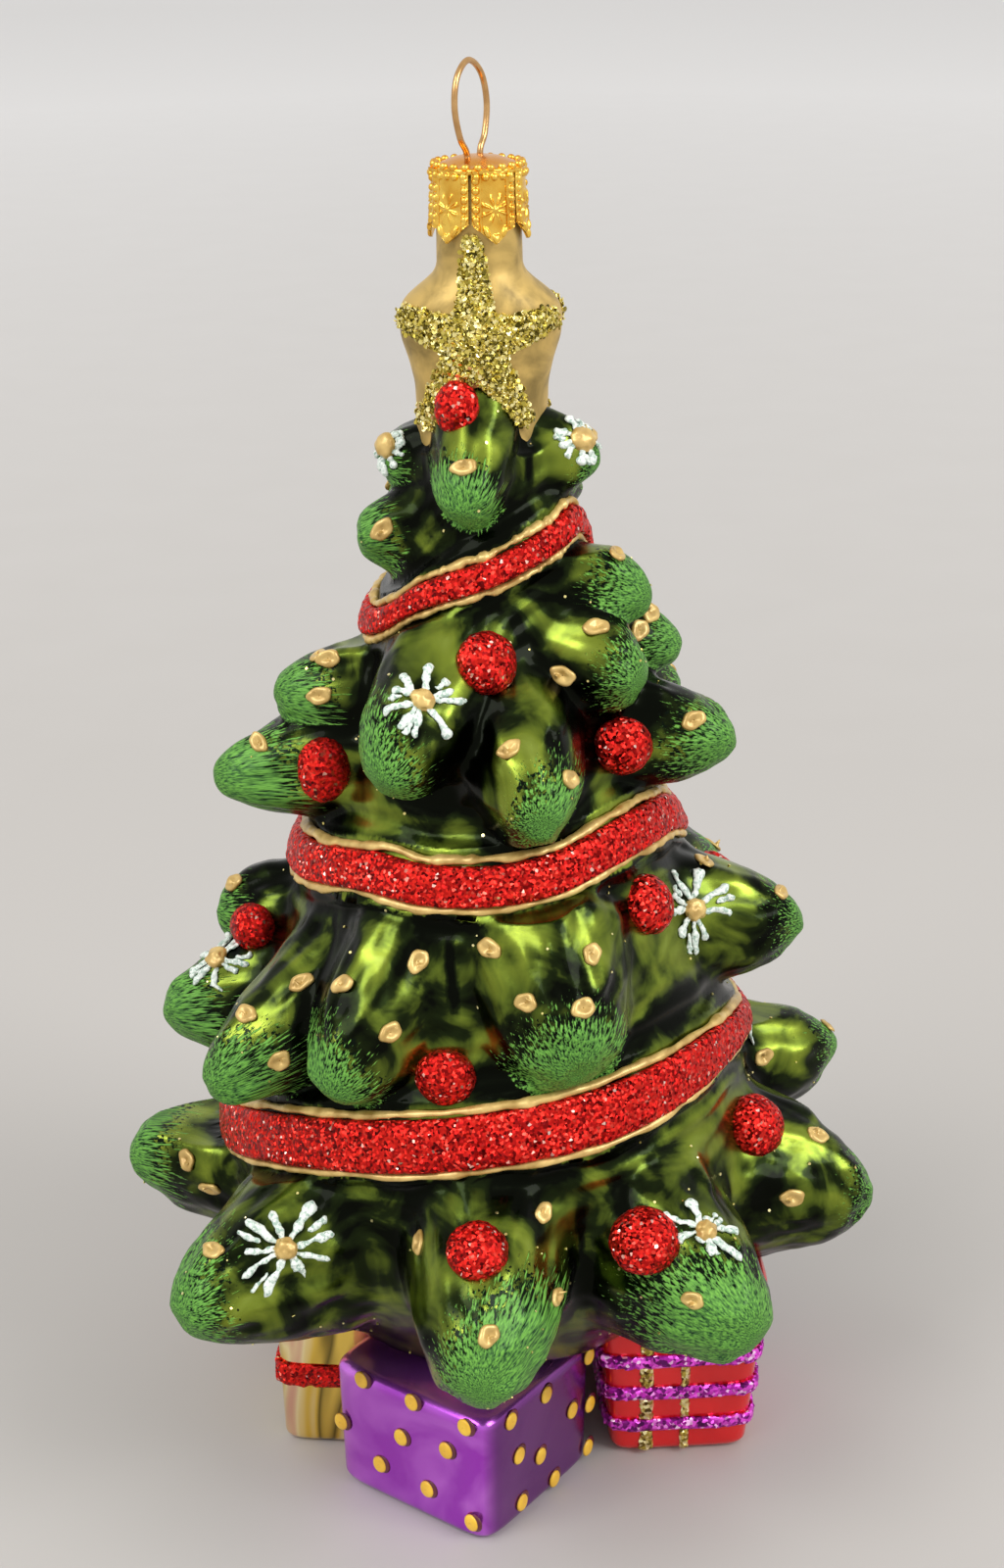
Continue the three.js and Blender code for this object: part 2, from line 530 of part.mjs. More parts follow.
function hangerWire() {
  const top = CAP_TOP_Z + LOOP_HEIGHT - WIRE_RADIUS;
  const wide = LOOP_WIDTH / 2 - WIRE_RADIUS;
  const leg = LEG_SPACING / 2;
  const half = [[LEG_SPREAD / 2, CAP_TOP_Z - LEG_LENGTH], [mix(leg, LEG_SPREAD / 2, 0.6), CAP_TOP_Z - 7],
    [leg, CAP_TOP_Z - 0.5], [leg, CAP_TOP_Z + 1.2], [wide * 0.78, CAP_TOP_Z + LOOP_HEIGHT * 0.26],
    [wide, CAP_TOP_Z + LOOP_HEIGHT * 0.55], [wide * 0.74, CAP_TOP_Z + LOOP_HEIGHT * 0.83]];
  const points = [...half.map(([across, z]) => hangerPoint(-across, z)), hangerPoint(0, top),
    ...half.reverse().map(([across, z]) => hangerPoint(across, z))];
  const section = new THREE.Shape().absarc(0, 0, WIRE_RADIUS, 0, Math.PI * 2);
  return toSolid(new THREE.ExtrudeGeometry(section, {
    steps: 44,
    curveSegments: 6,
    extrudePath: new THREE.CatmullRomCurve3(points, false, 'centripetal'),
  }));
}

// Ribbons of a gift: bars are cut from a thin coat round it, as [x, y, z, width, depth, height] in its own frame
function giftBand(wrap, bars) {
  const boxes = bars.map(([x, y, z, width, depth, height]) =>
    toSolid(new THREE.BoxGeometry(width, depth, height).translate(x, y, z)));
  const coat = gift(wrap, SKIN_GAP + BAND_THICK).intersect(placed(union(boxes), giftFrame(wrap)));
  return largest(coat.subtract(clear));
}
const rowBar = ({ width, depth }, z, breadth) => [0, 0, z, width + 6, depth + 6, breadth];
const columnBar = ({ depth, height }, x, breadth) => [x, -depth / 2, height / 2, breadth, 8, height - 4];

const material = (color, roughness, metalness) => new THREE.MeshStandardMaterial({ color, roughness, metalness });
const MATERIALS = {
  green: material(0x4d6b1c, 0.25, 0.7),
  red: material(0xc01822, 0.6, 0.3),
  gold: material(0xd9a94f, 0.45, 0.5),
  starGlitter: material(0xb9a83a, 0.5, 0.6),
  white: material(0xe4efe8, 0.6, 0.1),
  magenta: material(0xb01fa0, 0.55, 0.3),
  cap: material(0xe0a030, 0.3, 0.9),
  wire: material(0xb9853a, 0.3, 0.9),
};

const ornament = new THREE.Group();
function add(name, solid, look) {
  const mesh = new THREE.Mesh(toGeometry(solid), MATERIALS[look]);
  mesh.name = name;
  ornament.add(mesh);
}

add('glass_shell', largest(glass(0).subtract(cavity())), 'green');
add('crown_cap', crownCap(), 'cap');
add('hanger_wire', hangerWire(), 'wire');

// Later coats keep off earlier ones
const baubles = BAUBLES.map((bauble) => largest(dome(bauble).subtract(clear)));
const spared = clear.add(union(BAUBLES.map(([azimuth, z, radius]) => dome([azimuth, z, radius + FIT]))));
add('star_glitter_front', starGlitter(false), 'starGlitter');
add('star_glitter_back', starGlitter(true), 'starGlitter');

RIDGES.forEach((path, i) => {
  const edge = path.half + FIT + PIPING_RADIUS;
  add(`garland_${i + 1}`, ring(glitterBand(path), path, RING_SIDES), 'red');
  add(`piping_upper_${i + 1}`, ring(pipe(edge), path, RING_SIDES), 'gold');
  add(`piping_lower_${i + 1}`, ring(pipe(-edge), path, RING_SIDES), 'gold');
});

baubles.forEach((solid, i) => add(`bauble_${i + 1}`, solid, 'red'));
SNOWFLAKES.forEach(([azimuth, z], i) => {
  add(`snowflake_${i + 1}`, largest(snowflake(azimuth, z).intersect(painted).subtract(spared)), 'white');
});

const lattice = [...PLAID_ROWS.map((z) => rowBar(GIFTS.plaid, z, PLAID_BREADTH)),
  ...PLAID_COLUMNS.map((x) => columnBar(GIFTS.plaid, x, PLAID_BREADTH))];
add('plaid_ribbons', giftBand(GIFTS.plaid, lattice), 'magenta');
['gold', 'back_left', 'back_right'].forEach((name) => {
  add(`${name}_gift_ribbon`, giftBand(GIFTS[name], [rowBar(GIFTS[name], RIBBON_ROW, RIBBON_BREADTH)]), 'red');
});

export default ornament;
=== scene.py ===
"""The looks of a blown-glass christmas tree ornament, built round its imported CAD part.

Shapes are worked out in millimetres. Azimuths are in degrees from the front and grow towards +X.
"""
import math

import bpy
import numpy as np
from mathutils import Matrix, Vector


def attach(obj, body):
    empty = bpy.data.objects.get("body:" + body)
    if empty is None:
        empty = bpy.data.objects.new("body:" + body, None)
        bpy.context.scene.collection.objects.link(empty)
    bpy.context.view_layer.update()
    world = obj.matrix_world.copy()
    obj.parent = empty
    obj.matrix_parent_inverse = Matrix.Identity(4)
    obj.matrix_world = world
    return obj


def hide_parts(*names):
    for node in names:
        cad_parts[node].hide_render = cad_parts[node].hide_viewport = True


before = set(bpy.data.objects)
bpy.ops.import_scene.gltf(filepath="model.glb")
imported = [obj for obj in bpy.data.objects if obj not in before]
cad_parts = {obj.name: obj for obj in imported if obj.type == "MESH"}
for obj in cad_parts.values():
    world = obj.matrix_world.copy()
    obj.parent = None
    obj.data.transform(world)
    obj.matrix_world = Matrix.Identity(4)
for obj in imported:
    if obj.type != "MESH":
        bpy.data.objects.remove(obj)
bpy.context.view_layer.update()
MM = 0.001
scene = bpy.context.scene
scene.view_settings.view_transform = "Standard"

# Viewpoint: the photograph looks down on the ornament from the front, a short way off, and leans
# a little to the left.
VIEW_PLACE = (0.0015, -0.2654, 0.188)
VIEW_DOWN = 21.5
VIEW_ROLL = 0.92


def place_object(name, data):
    """An object of this data, linked to the scene."""
    placed = bpy.data.objects.new(name, data)
    scene.collection.objects.link(placed)
    return placed


viewpoint = bpy.data.cameras.new("viewpoint")
viewpoint.sensor_fit = "VERTICAL"
viewpoint.sensor_height = 36
viewpoint.lens = 56.25
viewpoint.clip_start = 0.01
viewpoint.clip_end = 30
scene.camera = place_object("viewpoint", viewpoint)
scene.camera.matrix_world = (Matrix.Translation(VIEW_PLACE)
                             @ Matrix.Rotation(math.radians(90 - VIEW_DOWN), 4, "X")
                             @ Matrix.Rotation(math.radians(-VIEW_ROLL), 4, "Z"))

# Table and light: a pale smooth table top that runs out of sight, under even room light with one large soft
# lamp at the upper left and a weaker one at the right. Painted shade darkens the table near the ornament and
# towards the front; further back it has its plain colour, and painted light makes it paler still towards its far
# rim.
TABLE_SIZE = 6.0
TABLE_NEAR_PAINTED_SHADE, TABLE_FAR, TABLE_RIM_PAINTED_LIGHT = (0.46, 0.44, 0.42), (0.76, 0.75, 0.75), (0.97, 0.97, 0.96)
ROOM_COLOUR, ROOM_LIGHT = (1.0, 0.99, 0.97, 1), 0.8
LAMP_AIM = Vector((0, 0, 0.08))
# Name, place, size and power
LAMPS = [("lamp_left", (-1.1, -0.9, 1.6), 1.2, 22.0), ("lamp_right", (1.3, -0.8, 1.2), 0.9, 19.0)]


class Finish:
    """A principled material with the given socket values, and the patterns drawn on it by place on the
    piece."""

    def __init__(self, name, **sockets):
        self.material = bpy.data.materials.new(name)
        self.material.use_nodes = True
        self.tree = self.material.node_tree
        self.set_shader(sockets)
        self.place = self.add("TexCoord", "Object")

    def set_inputs(self, node, inputs):
        """Each value set on the node's input of that name, or joined to it."""
        for key, value in inputs.items():
            if isinstance(value, bpy.types.NodeSocket):
                self.tree.links.new(value, node.inputs[key])
            else:
                node.inputs[key].default_value = (*value, 1) if node.inputs[key].type == "RGBA" else value

    def set_shader(self, sockets):
        """The same for the principled shader, whose names are written in capitals."""
        titles = {key.replace("_", " ").title().replace("Ior", "IOR"): value for key, value in sockets.items()}
        self.set_inputs(self.tree.nodes["Principled BSDF"], titles)

    def add(self, kind, give=0, inputs=None, **settings):
        """One output of a new node with these inputs and settings."""
        node = self.tree.nodes.new("ShaderNode" + kind)
        for key, value in settings.items():
            setattr(node, key, value)
        self.set_inputs(node, inputs or {})
        return node.outputs[give]

    def noise(self, scale, detail, distortion=0.0):
        """Soft noise from 0 to 1, with that many waves to a metre."""
        return self.add("TexNoise", 0, {"Vector": self.place, "Scale": scale, "Detail": detail,
                                        "Distortion": distortion})

    def tones(self, value, *stops):
        """A colour that runs from stop to stop as the value grows. Each stop is a value and a colour."""
        colour = self.add("ValToRGB", 0, {"Fac": value})
        marks = colour.node.color_ramp.elements
        marks[1].position, marks[1].color = stops[-1][0], (*stops[-1][1], 1)
        marks[0].position, marks[0].color = stops[0][0], (*stops[0][1], 1)
        for spot, shade in stops[1:-1]:
            marks.new(spot).color = (*shade, 1)
        return colour

    def blend(self, share, first, second):
        """The first colour, which turns into the second as the share grows."""
        return self.add("MixRGB", 0, {0: share, 1: first, 2: second})

    def scaled(self, value, factor, plus):
        """The value times the factor, plus another."""
        return self.add("Math", 0, {0: value, 1: factor, 2: plus}, operation="MULTIPLY_ADD")

    def ranged(self, value, low, high, first=0.0, last=1.0):
        """From first to last as the value goes from low to high, and level beyond."""
        return self.add("MapRange", 0, {"Value": value, "From Min": low, "From Max": high,
                                        "To Min": first, "To Max": last})

    def relief(self, height, strength, depth):
        """Bumps as deep as the height times the depth."""
        return self.add("Bump", 0, {"Height": height, "Strength": strength, "Distance": depth})

    def done(self, **patterns):
        """The material, once these patterns are joined to its shader."""
        self.set_shader(patterns)
        return self.material


table = Finish("table_top", roughness=0.6)
spot = table.add("SeparateXYZ", 0, {"Vector": table.place}).node.outputs
aside = table.add("Math", 0, {0: spot["X"]}, operation="ABSOLUTE")
away = table.scaled(table.noise(40.0, 4.0), 0.1, table.scaled(aside, 0.35, spot["Y"]))
# Painted shade: the table darkens near the ornament and towards the front
shade = table.blend(table.ranged(away, 0.3, 1.7), TABLE_NEAR_PAINTED_SHADE, TABLE_FAR)
reach = table.add("VectorMath", "Value", {0: table.place}, operation="LENGTH")
# Painted light: the table pales towards its far rim
rim = table.ranged(table.scaled(spot["Y"], -0.3, reach), 1.8, 3.8)
table_mesh = bpy.data.meshes.new("table_top")
half, low = TABLE_SIZE / 2, -0.01 * MM
table_mesh.from_pydata([(-half, -half, low), (half, -half, low), (half, half, low), (-half, half, low)], [],
                       [(0, 1, 2, 3)])
table_mesh.materials.append(table.done(base_color=table.blend(rim, shade, TABLE_RIM_PAINTED_LIGHT)))
place_object("table_top", table_mesh)

scene.world = bpy.data.worlds.new("room")
scene.world.use_nodes = True
room = scene.world.node_tree.nodes["Background"]
room.inputs["Color"].default_value = ROOM_COLOUR
room.inputs["Strength"].default_value = ROOM_LIGHT
for name, place, size, power in LAMPS:
    lamp = bpy.data.lights.new(name, "AREA")
    lamp.size = size
    lamp.energy = power
    holder = place_object(name, lamp)
    holder.location = place
    holder.rotation_euler = (LAMP_AIM - Vector(place)).to_track_quat("-Z", "Y").to_euler()

# Glass tree: one thin bulb blown into a mould, silvered inside and lacquered green, with black specks and light
# green brushed on the tips. Painted shade darkens the green towards black in hollows, creases and undersides.
# A tapered trunk carries tiers of blunt branches, and three garland seats run round it.
TRUNK_FOOT = (18.5, 22.0)
TRUNK_SKIRT = (38.0, 32.0)
TRUNK_TOP = (124.0, 7.8)
ROOT_DEPTH = 6
BRANCH_TALL = 1.12
SEAT_LIFT = 0.6
SEAT_MARGIN = 1.2
MELT = 0.6
GROOVE = 0.42
LUMP = 0.34
FOLD = 0.3
VOXEL = 0.45
# Half width of each seat, and along its line the azimuth, height and loss of half width
SEAT_LINES = [
    (1.5, [(-80, 104.6, 0), (-58, 106.1, 0), (-37, 109.2, 0), (-17, 111, 0), (2, 112.3, 0), (23, 113.9, 0),
           (46, 115.3, 0), (72, 116.2, 0), (93, 113, 0), (115, 110.3, 0), (150, 109, 0), (200, 107.5, 0),
           (245, 105.5, 0)]),
    (2.1, [(-70, 78, 0), (-51, 79.4, 0), (-35, 80.2, 0), (-19, 79.9, 0), (5, 80.2, 0), (20, 80.9, 0),
           (37, 82.2, 0), (56, 82.7, 0), (76, 81.8, 0), (97, 78.6, 0), (140, 78, 0), (200, 77.6, 0),
           (250, 77, 0)]),
    (2.9, [(-76, 44, 0), (-55, 47.6, 0), (-40, 49.9, 0), (-26, 51.5, 0), (-1, 53.5, 0), (24, 54.9, 0),
           (50, 56.1, 0.3), (68, 56, 1), (83, 54.6, 1.3), (97, 52.4, 1.3), (135, 51.4, 0.8), (180, 49.5, 0),
           (220, 46.5, 0), (258, 44, 0)]),
]
# Azimuth and reach of the tip, height of the tip and of the root, half width at the root, radius of the nose
BRANCHES = np.array([
    (-8, 12.8, 118.8, 127, 5.2, 3.6), (-92, 11.8, 122, 123, 4.4, 3), (80, 12.8, 122, 124, 4.8, 3),
    (172, 12.5, 119, 126, 5, 3.4), (-80, 14.5, 113.5, 115.5, 5.5, 3.3), (135, 14.5, 116.5, 119, 5, 3.2),
    (-135, 14.5, 114, 117, 5.4, 3.2), (70, 19.6, 108, 110, 6, 3.2), (150, 20.5, 100.5, 102, 6.2, 3.2),
    (-145, 20.5, 98.5, 100, 6.4, 3.2), (-80, 24.5, 96.5, 96.5, 6.2, 3.2), (-26, 26, 92.5, 100, 8.4, 4.6),
    (55, 21, 100, 102, 7, 3.8), (95, 22.5, 100, 100.5, 6, 3.2), (-80, 31.8, 87, 88, 7.5, 3.7),
    (13, 26, 88.3, 93.5, 8.6, 4.4), (77, 28.5, 90.5, 92, 8, 3.7), (128, 29, 89, 91, 8, 3.7),
    (-172, 29, 89, 91, 8, 3.8), (-128, 29, 88, 90, 8, 3.7), (-97, 33, 66.5, 66.5, 6.6, 3.6),
    (-88, 40, 55.5, 58, 8, 3.7), (-56, 38.8, 55.4, 63.5, 8, 4.1), (-31, 34, 58.5, 67, 8.4, 4.6),
    (17, 31.5, 60.5, 68, 10.6, 5.6), (85, 36.8, 66.5, 67, 9, 3.9), (131, 38, 62, 65, 9, 4),
    (174, 38, 60, 64, 9, 4), (-138, 38, 57.5, 61, 9, 4), (-91, 45.5, 35, 34.5, 10.4, 4.3),
    (-47, 48.2, 33.2, 35, 11.6, 4.8), (-2, 47.4, 32.7, 38, 10.6, 5.8), (37, 47.7, 32.7, 36, 11.4, 5),
    (79, 46.5, 33, 35, 12, 4.6), (106, 45, 42, 42.5, 9, 4), (143, 46, 34.5, 36, 11.5, 4.6),
    (-178, 47.4, 34, 36, 11, 4.6), (-136, 46, 34.5, 35.5, 11.5, 4.6)], float)


def turns(count):
    """That many even steps round a circle."""
    return np.linspace(0, 2 * np.pi, count, endpoint=False)


def grid(*xyz):
    """Points from arrays of their coordinates, stretched to one shape."""
    return np.stack(np.broadcast_arrays(*xyz), -1)


def at(azimuth, radius, z):
    """Points at an azimuth in degrees, a radius and a height."""
    angle = np.radians(azimuth)
    return grid(radius * np.sin(angle), -radius * np.cos(angle), z)


def azimuth_of(points):
    """The azimuth in degrees, from the arctangent of x over minus y."""
    return np.degrees(np.arctan2(points[..., 0], -points[..., 1]))


def unit(vectors):
    """Vectors divided by their lengths."""
    return vectors / np.linalg.norm(vectors, axis=-1, keepdims=True)


def surface(points, close="ends"):
    """Corners, quads and triangles of a grid of points [row, column, xyz] whose last column joins the
    first. It is closed by a fan over both end rows, or as a ring whose last row joins the first, or left
    open."""
    rows, columns = points.shape[:2]
    index = np.arange(rows * columns).reshape(rows, columns)
    index = np.column_stack([index, index[:, :1]])
    if close == "ring":
        index = np.vstack([index, index[:1]])
    quads = np.stack([index[:-1, :-1], index[:-1, 1:], index[1:, 1:], index[1:, :-1]], -1).reshape(-1, 4)
    corners = points.reshape(-1, 3)
    if close != "ends":
        return corners, quads, np.empty((0, 3), int)
    middle = np.full(columns, len(corners))
    fans = [np.column_stack([index[0, 1:], index[0, :-1], middle]),
            np.column_stack([index[-1, :-1], index[-1, 1:], middle + 1])]
    return np.vstack([corners, points[0].mean(0), points[-1].mean(0)]), quads, np.vstack(fans)


def facing_out(part):
    """The same part with its faces turned over where it encloses a negative volume."""
    corners, quads, fans = part
    tris = np.concatenate([quads[:, [0, 1, 2]], quads[:, [0, 2, 3]], fans])
    a, b, c = corners[tris[:, 0]], corners[tris[:, 1]], corners[tris[:, 2]]
    if (a * np.cross(b, c)).sum() < 0:
        return corners, quads[:, ::-1], fans[:, ::-1]
    return part


def mesh_of(name, parts):
    """One smooth mesh, in metres, of the corners and faces of several parts."""
    corners, faces, base = [], [], 0
    for points, quads, fans in parts:
        corners.append(points)
        faces += (quads + base).tolist() + (fans + base).tolist()
        base += len(points)
    mesh = bpy.data.meshes.new(name)
    mesh.from_pydata((np.concatenate(corners) * MM).tolist(), [], faces)
    mesh.polygons.foreach_set("use_smooth", np.ones(len(faces), bool))
    return mesh


def finished(name, mesh, look, slot, nodes=(), body="glass", **attributes):
    """A mesh made a piece, with its material, values per corner, the nodes it stands for and the body it
    rides on."""
    mesh.materials.append(look)
    made = place_object(name, mesh)
    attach(made, body)
    if nodes:
        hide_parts(*nodes)
    for key, values in attributes.items():
        kind, field = ("FLOAT_VECTOR", "vector") if values.ndim == 2 else ("FLOAT", "value")
        mesh.attributes.new(key, kind, "POINT").data.foreach_set(field, values.ravel())


def trunk_radius(z):
    """Below the skirt a quarter sine from the foot's radius, above it halfway between a cone and a bell."""
    low = np.clip((z - TRUNK_FOOT[0]) / (TRUNK_SKIRT[0] - TRUNK_FOOT[0]), 0, 1)
    high = np.clip((z - TRUNK_SKIRT[0]) / (TRUNK_TOP[0] - TRUNK_SKIRT[0]), 0, 1)
    swell = TRUNK_FOOT[1] + (TRUNK_SKIRT[1] - TRUNK_FOOT[1]) * np.sin(low * np.pi / 2)
    share = ((1 - high) + (1 + np.cos(high * np.pi)) / 2) / 2
    return np.where(z < TRUNK_SKIRT[0], swell, TRUNK_TOP[1] + (TRUNK_SKIRT[1] - TRUNK_TOP[1]) * share)


def seat_line(azimuth, line):
    """Height of a garland's middle and the loss of its half width: a smooth closed curve through the given
    points, whose slope at each point is that of the line between its neighbours."""
    x, *values = np.array(line, float).T
    wrapped = x[0] + (azimuth - x[0]) % 360
    lap = np.concatenate([x[-1:] - 360, x, x[:1] + 360, x[1:2] + 360])
    low = np.clip(np.searchsorted(x, wrapped, side="right"), 1, len(x))
    run = lap[low + 1] - lap[low]
    t = (wrapped - lap[low]) / run
    results = []
    for y in values:
        y = np.concatenate([y[-1:], y, y[:2]])
        slope = (y[2:] - y[:-2]) / (lap[2:] - lap[:-2])
        slope = np.concatenate([slope[-2:-1], slope, slope[:1]])
        results.append((2 * t ** 3 - 3 * t ** 2 + 1) * y[low] + (t ** 3 - 2 * t ** 2 + t) * run * slope[low]
                       + (3 * t ** 2 - 2 * t ** 3) * y[low + 1] + (t ** 3 - t ** 2) * run * slope[low + 1])
    return results


def cloud(points, size, seed):
    """Soft noise from -1 to 1: random values on a lattice of that cell size, blended smoothly between
    corners."""
    table = np.random.default_rng(seed).uniform(-1, 1, (32, 32, 32))
    scaled = points / size
    low = np.floor(scaled).astype(int)
    part = scaled - low
    part = part * part * (3 - 2 * part)
    total = 0
    for corner in np.ndindex(2, 2, 2):
        index = (low + corner) % 32
        weight = np.prod(np.where(corner, part, 1 - part), axis=-1)
        total = total + weight * table[index[..., 0], index[..., 1], index[..., 2]]
    return total


TIP_AZIMUTH, TIP_REACH, TIP_Z, ROOT_Z, ROOT_HALF, NOSE = BRANCHES.T
ROOT = at(TIP_AZIMUTH, np.maximum(1, trunk_radius(ROOT_Z) - ROOT_DEPTH), ROOT_Z)
TIP = at(TIP_AZIMUTH, TIP_REACH, TIP_Z)
LENGTH = np.linalg.norm(TIP - ROOT, axis=1)
ALONG = (TIP - ROOT) / LENGTH[:, None]
SIDE = at(TIP_AZIMUTH + 90, 1, 0)
OVER = np.cross(SIDE, ALONG)


def branch_places(points):
    """Each point in each branch's own frame: to its side, along it from the root, and over it."""
    away = points[:, None, :] - ROOT
    return [(away * axis).sum(-1) for axis in (SIDE, ALONG, OVER)]


def branch_gaps(side, along, over):
    """Distance outside each branch, to first order: its section is an ellipse whose half width tapers from
    root to nose, and falls to nothing at the nose as the root of one minus the sixth power of the share of
    its length."""
    share = along / LENGTH
    taper = ROOT_HALF + (NOSE - ROOT_HALF) * np.clip(share, 0, 1.1)
    radius = np.hypot(side, over / BRANCH_TALL)
    value = (radius / taper) ** 2 + np.where(share > 0, np.abs(share) ** 6, (along / ROOT_HALF) ** 2) - 1
    outward = 2 * radius / taper ** 2
    onward = np.where(share > 0, 6 * np.abs(share) ** 5 / LENGTH
                      - 2 * radius ** 2 / taper ** 3 * (NOSE - ROOT_HALF) / LENGTH, 2 * along / ROOT_HALF ** 2)
    return np.clip(value / np.sqrt(outward ** 2 + onward ** 2 + 1e-4), -6, 60)


def melt(gaps, soft):
    """The least of several distances, with the corner between any two rounded off over that length."""
    least = gaps.min(-1, keepdims=True)
    return (least - soft * np.log(np.exp((least - gaps) / soft).sum(-1, keepdims=True)))[..., 0]


def glass_gap(points, details=False):
    """How far each point lies outside the glass tree. Garland seats are proud of the trunk, and each keeps
    a channel free of branches. The relief is grooves along each branch that fade where two branches meet,
    soft lumps, and folds of the trunk beside the seats. With details, also the nearest branch, the place in
    its frame and how much further off the next branch is."""
    results = []
    for some in np.array_split(points.reshape(-1, 3), max(1, points.size // 90000)):
        azimuth = azimuth_of(some)
        radius, z = np.hypot(some[:, 0], some[:, 1]), some[:, 2]
        side, along, over = branch_places(some)
        gaps = branch_gaps(side, along, over)
        nearest = gaps.argmin(1)
        pick = (np.arange(len(some)), nearest)
        rival = np.partition(gaps, 1, axis=1)[:, 1] - gaps[pick]
        lead = np.clip(rival / 1.6, 0, 1)
        grown = np.stack([side[pick], over[pick] + nearest * 9.0, along[pick] * 0.27], -1)
        branches = melt(gaps, MELT) - GROOVE * lead * (cloud(grown, 2.5, 1) + 0.35 * cloud(grown, 1.1, 5))
        proud = radius - trunk_radius(z)
        folds = 0
        layers = []
        for wide, line in SEAT_LINES:
            middle, loss = seat_line(azimuth, line)
            beyond = np.abs(z - middle) - (wide - loss + SEAT_MARGIN)
            branches = np.maximum(branches, -np.maximum(beyond - 0.3, SEAT_LIFT - proud))
            layers.append(np.maximum(proud - SEAT_LIFT, beyond))
            wave = np.sin(beyond * 2.4 + 1.5 * cloud(some, 7.0, 8))
            folds = folds + wave * np.exp(-np.clip(beyond, 0, 20) / 4)
        trunk = np.maximum(proud - FOLD * folds, np.maximum(z - TRUNK_TOP[0], TRUNK_FOOT[0] - z))
        whole = melt(np.stack([branches, trunk, *layers], -1), MELT) - LUMP * cloud(some, 5.5, 2)
        if details:
            whole = np.column_stack([whole, nearest, along[pick] / LENGTH[nearest], side[pick], over[pick],
                                     along[pick], gaps[pick], rival])
        results.append(whole)
    return np.concatenate(results)


def settle(points, rounds=4):
    """Points moved onto the glass, and the outward direction there: each round steps by the distance over
    the slope, against the slope's direction."""
    shape, probe = points.shape, 0.05
    points = points.reshape(-1, 3).copy()
    for _ in range(rounds):
        value = glass_gap(points)
        slope = np.stack([glass_gap(points + step) - value for step in np.eye(3) * probe], -1) / probe
        steep = np.maximum((slope ** 2).sum(-1, keepdims=True), 0.2)
        points -= np.clip(value[:, None] * slope / steep, -1.5, 1.5)
    return points.reshape(shape), unit(slope).reshape(shape)


def reach_glass(azimuth, z):
    """Where a level line from far outside first meets the glass at an azimuth and height, and the way out
    there."""
    azimuth, z = np.array(azimuth, float), np.array(z, float)
    radii = np.arange(56, 3, -0.25)
    trial = at(azimuth[:, None], radii[None, :], z[:, None])
    inside = glass_gap(trial.reshape(-1, 3)).reshape(trial.shape[:2]) < 0
    first = np.where(inside.any(1), inside.argmax(1), len(radii) - 1)
    return settle(at(azimuth, radii[first] + 0.12, z), rounds=3)


def lobe(i, rows=22, columns=36):
    """A branch's plain skin: rows run from a round back end in the trunk to the nose, each an ellipse."""
    back = np.linspace(-1, 0, 6)[:-1]
    share = np.concatenate([np.zeros(5), 1 - (1 - np.linspace(0, 1, rows)) ** 2])
    along = np.concatenate([back * ROOT_HALF[i] * 0.7, share[5:] * LENGTH[i]])
    wide = (ROOT_HALF[i] + (NOSE[i] - ROOT_HALF[i]) * share) * np.sqrt(np.maximum(1 - share ** 6, 1e-4))
    wide[:5] *= np.sqrt(np.maximum(1 - back ** 2, 0.05))
    turn = turns(columns)[:, None]
    ellipse = np.cos(turn) * SIDE[i] + BRANCH_TALL * np.sin(turn) * OVER[i]
    return surface(ROOT[i] + along[:, None, None] * ALONG[i] + wide[:, None, None] * ellipse)


def turned(radii, heights, columns=96):
    """Rows of circles about the neck's axis."""
    turn = np.linspace(-180, 180, columns, endpoint=False)
    return at(turn[None, :], np.asarray(radii)[:, None], np.asarray(heights)[:, None])


def blown(name, parts, voxel):
    """The parts grown into one skin of even small faces: its corners, its faces and its edges."""
    rough = place_object(name, mesh_of(name, [facing_out(part) for part in parts]))
    grown = rough.modifiers.new("grown", "REMESH")
    grown.mode = "VOXEL"
    grown.voxel_size = voxel * MM
    mesh = bpy.data.meshes.new_from_object(rough.evaluated_get(bpy.context.evaluated_depsgraph_get()))
    bpy.data.objects.remove(rough)
    corners = np.empty(len(mesh.vertices) * 3)
    mesh.vertices.foreach_get("co", corners)
    loops = np.empty(len(mesh.loops), int)
    mesh.loops.foreach_get("vertex_index", loops)
    edges = np.empty(len(mesh.edges) * 2, int)
    mesh.edges.foreach_get("vertices", edges)
    return corners.reshape(-1, 3) / MM, loops.reshape(-1, 4), edges.reshape(-1, 2)


def relax(corners, edges, rounds):
    """Each corner moved most of the way to the middle of its neighbours."""
    ends = np.concatenate([edges, edges[:, ::-1]])
    count = np.bincount(ends[:, 0], minlength=len(corners))[:, None]
    for _ in range(rounds):
        total = np.stack([np.bincount(ends[:, 0], corners[ends[:, 1], k], len(corners)) for k in range(3)], -1)
        corners = 0.4 * corners + 0.6 * total / count
    return corners


def shade_of(points, outward):
    """How shaded a place is, from 0 to 1, for the painted shade: how much nearer the glass is than it would be
    over open ground, at three heights above the place."""
    total = sum(weight * np.clip(1 - glass_gap(points + outward * step) / step, 0, 1)
                for step, weight in ((1.2, 0.8), (3.0, 0.55), (6.5, 0.35)))
    return np.clip(total, 0, 1)


heights = np.linspace(TRUNK_FOOT[0], TRUNK_TOP[0], 60)
skin, faces, edges = blown("tree", [surface(turned(trunk_radius(heights) + 0.3, heights)),
                                    *[lobe(i) for i in range(len(BRANCHES))]], VOXEL)
skin, _ = settle(relax(skin, edges, 2), rounds=3)
skin, out = settle(relax(skin, edges, 1), rounds=2)
_, nearest, share, side, over, onward, own_gap, rival = glass_gap(skin, details=True).T
nearest = nearest.astype(int)
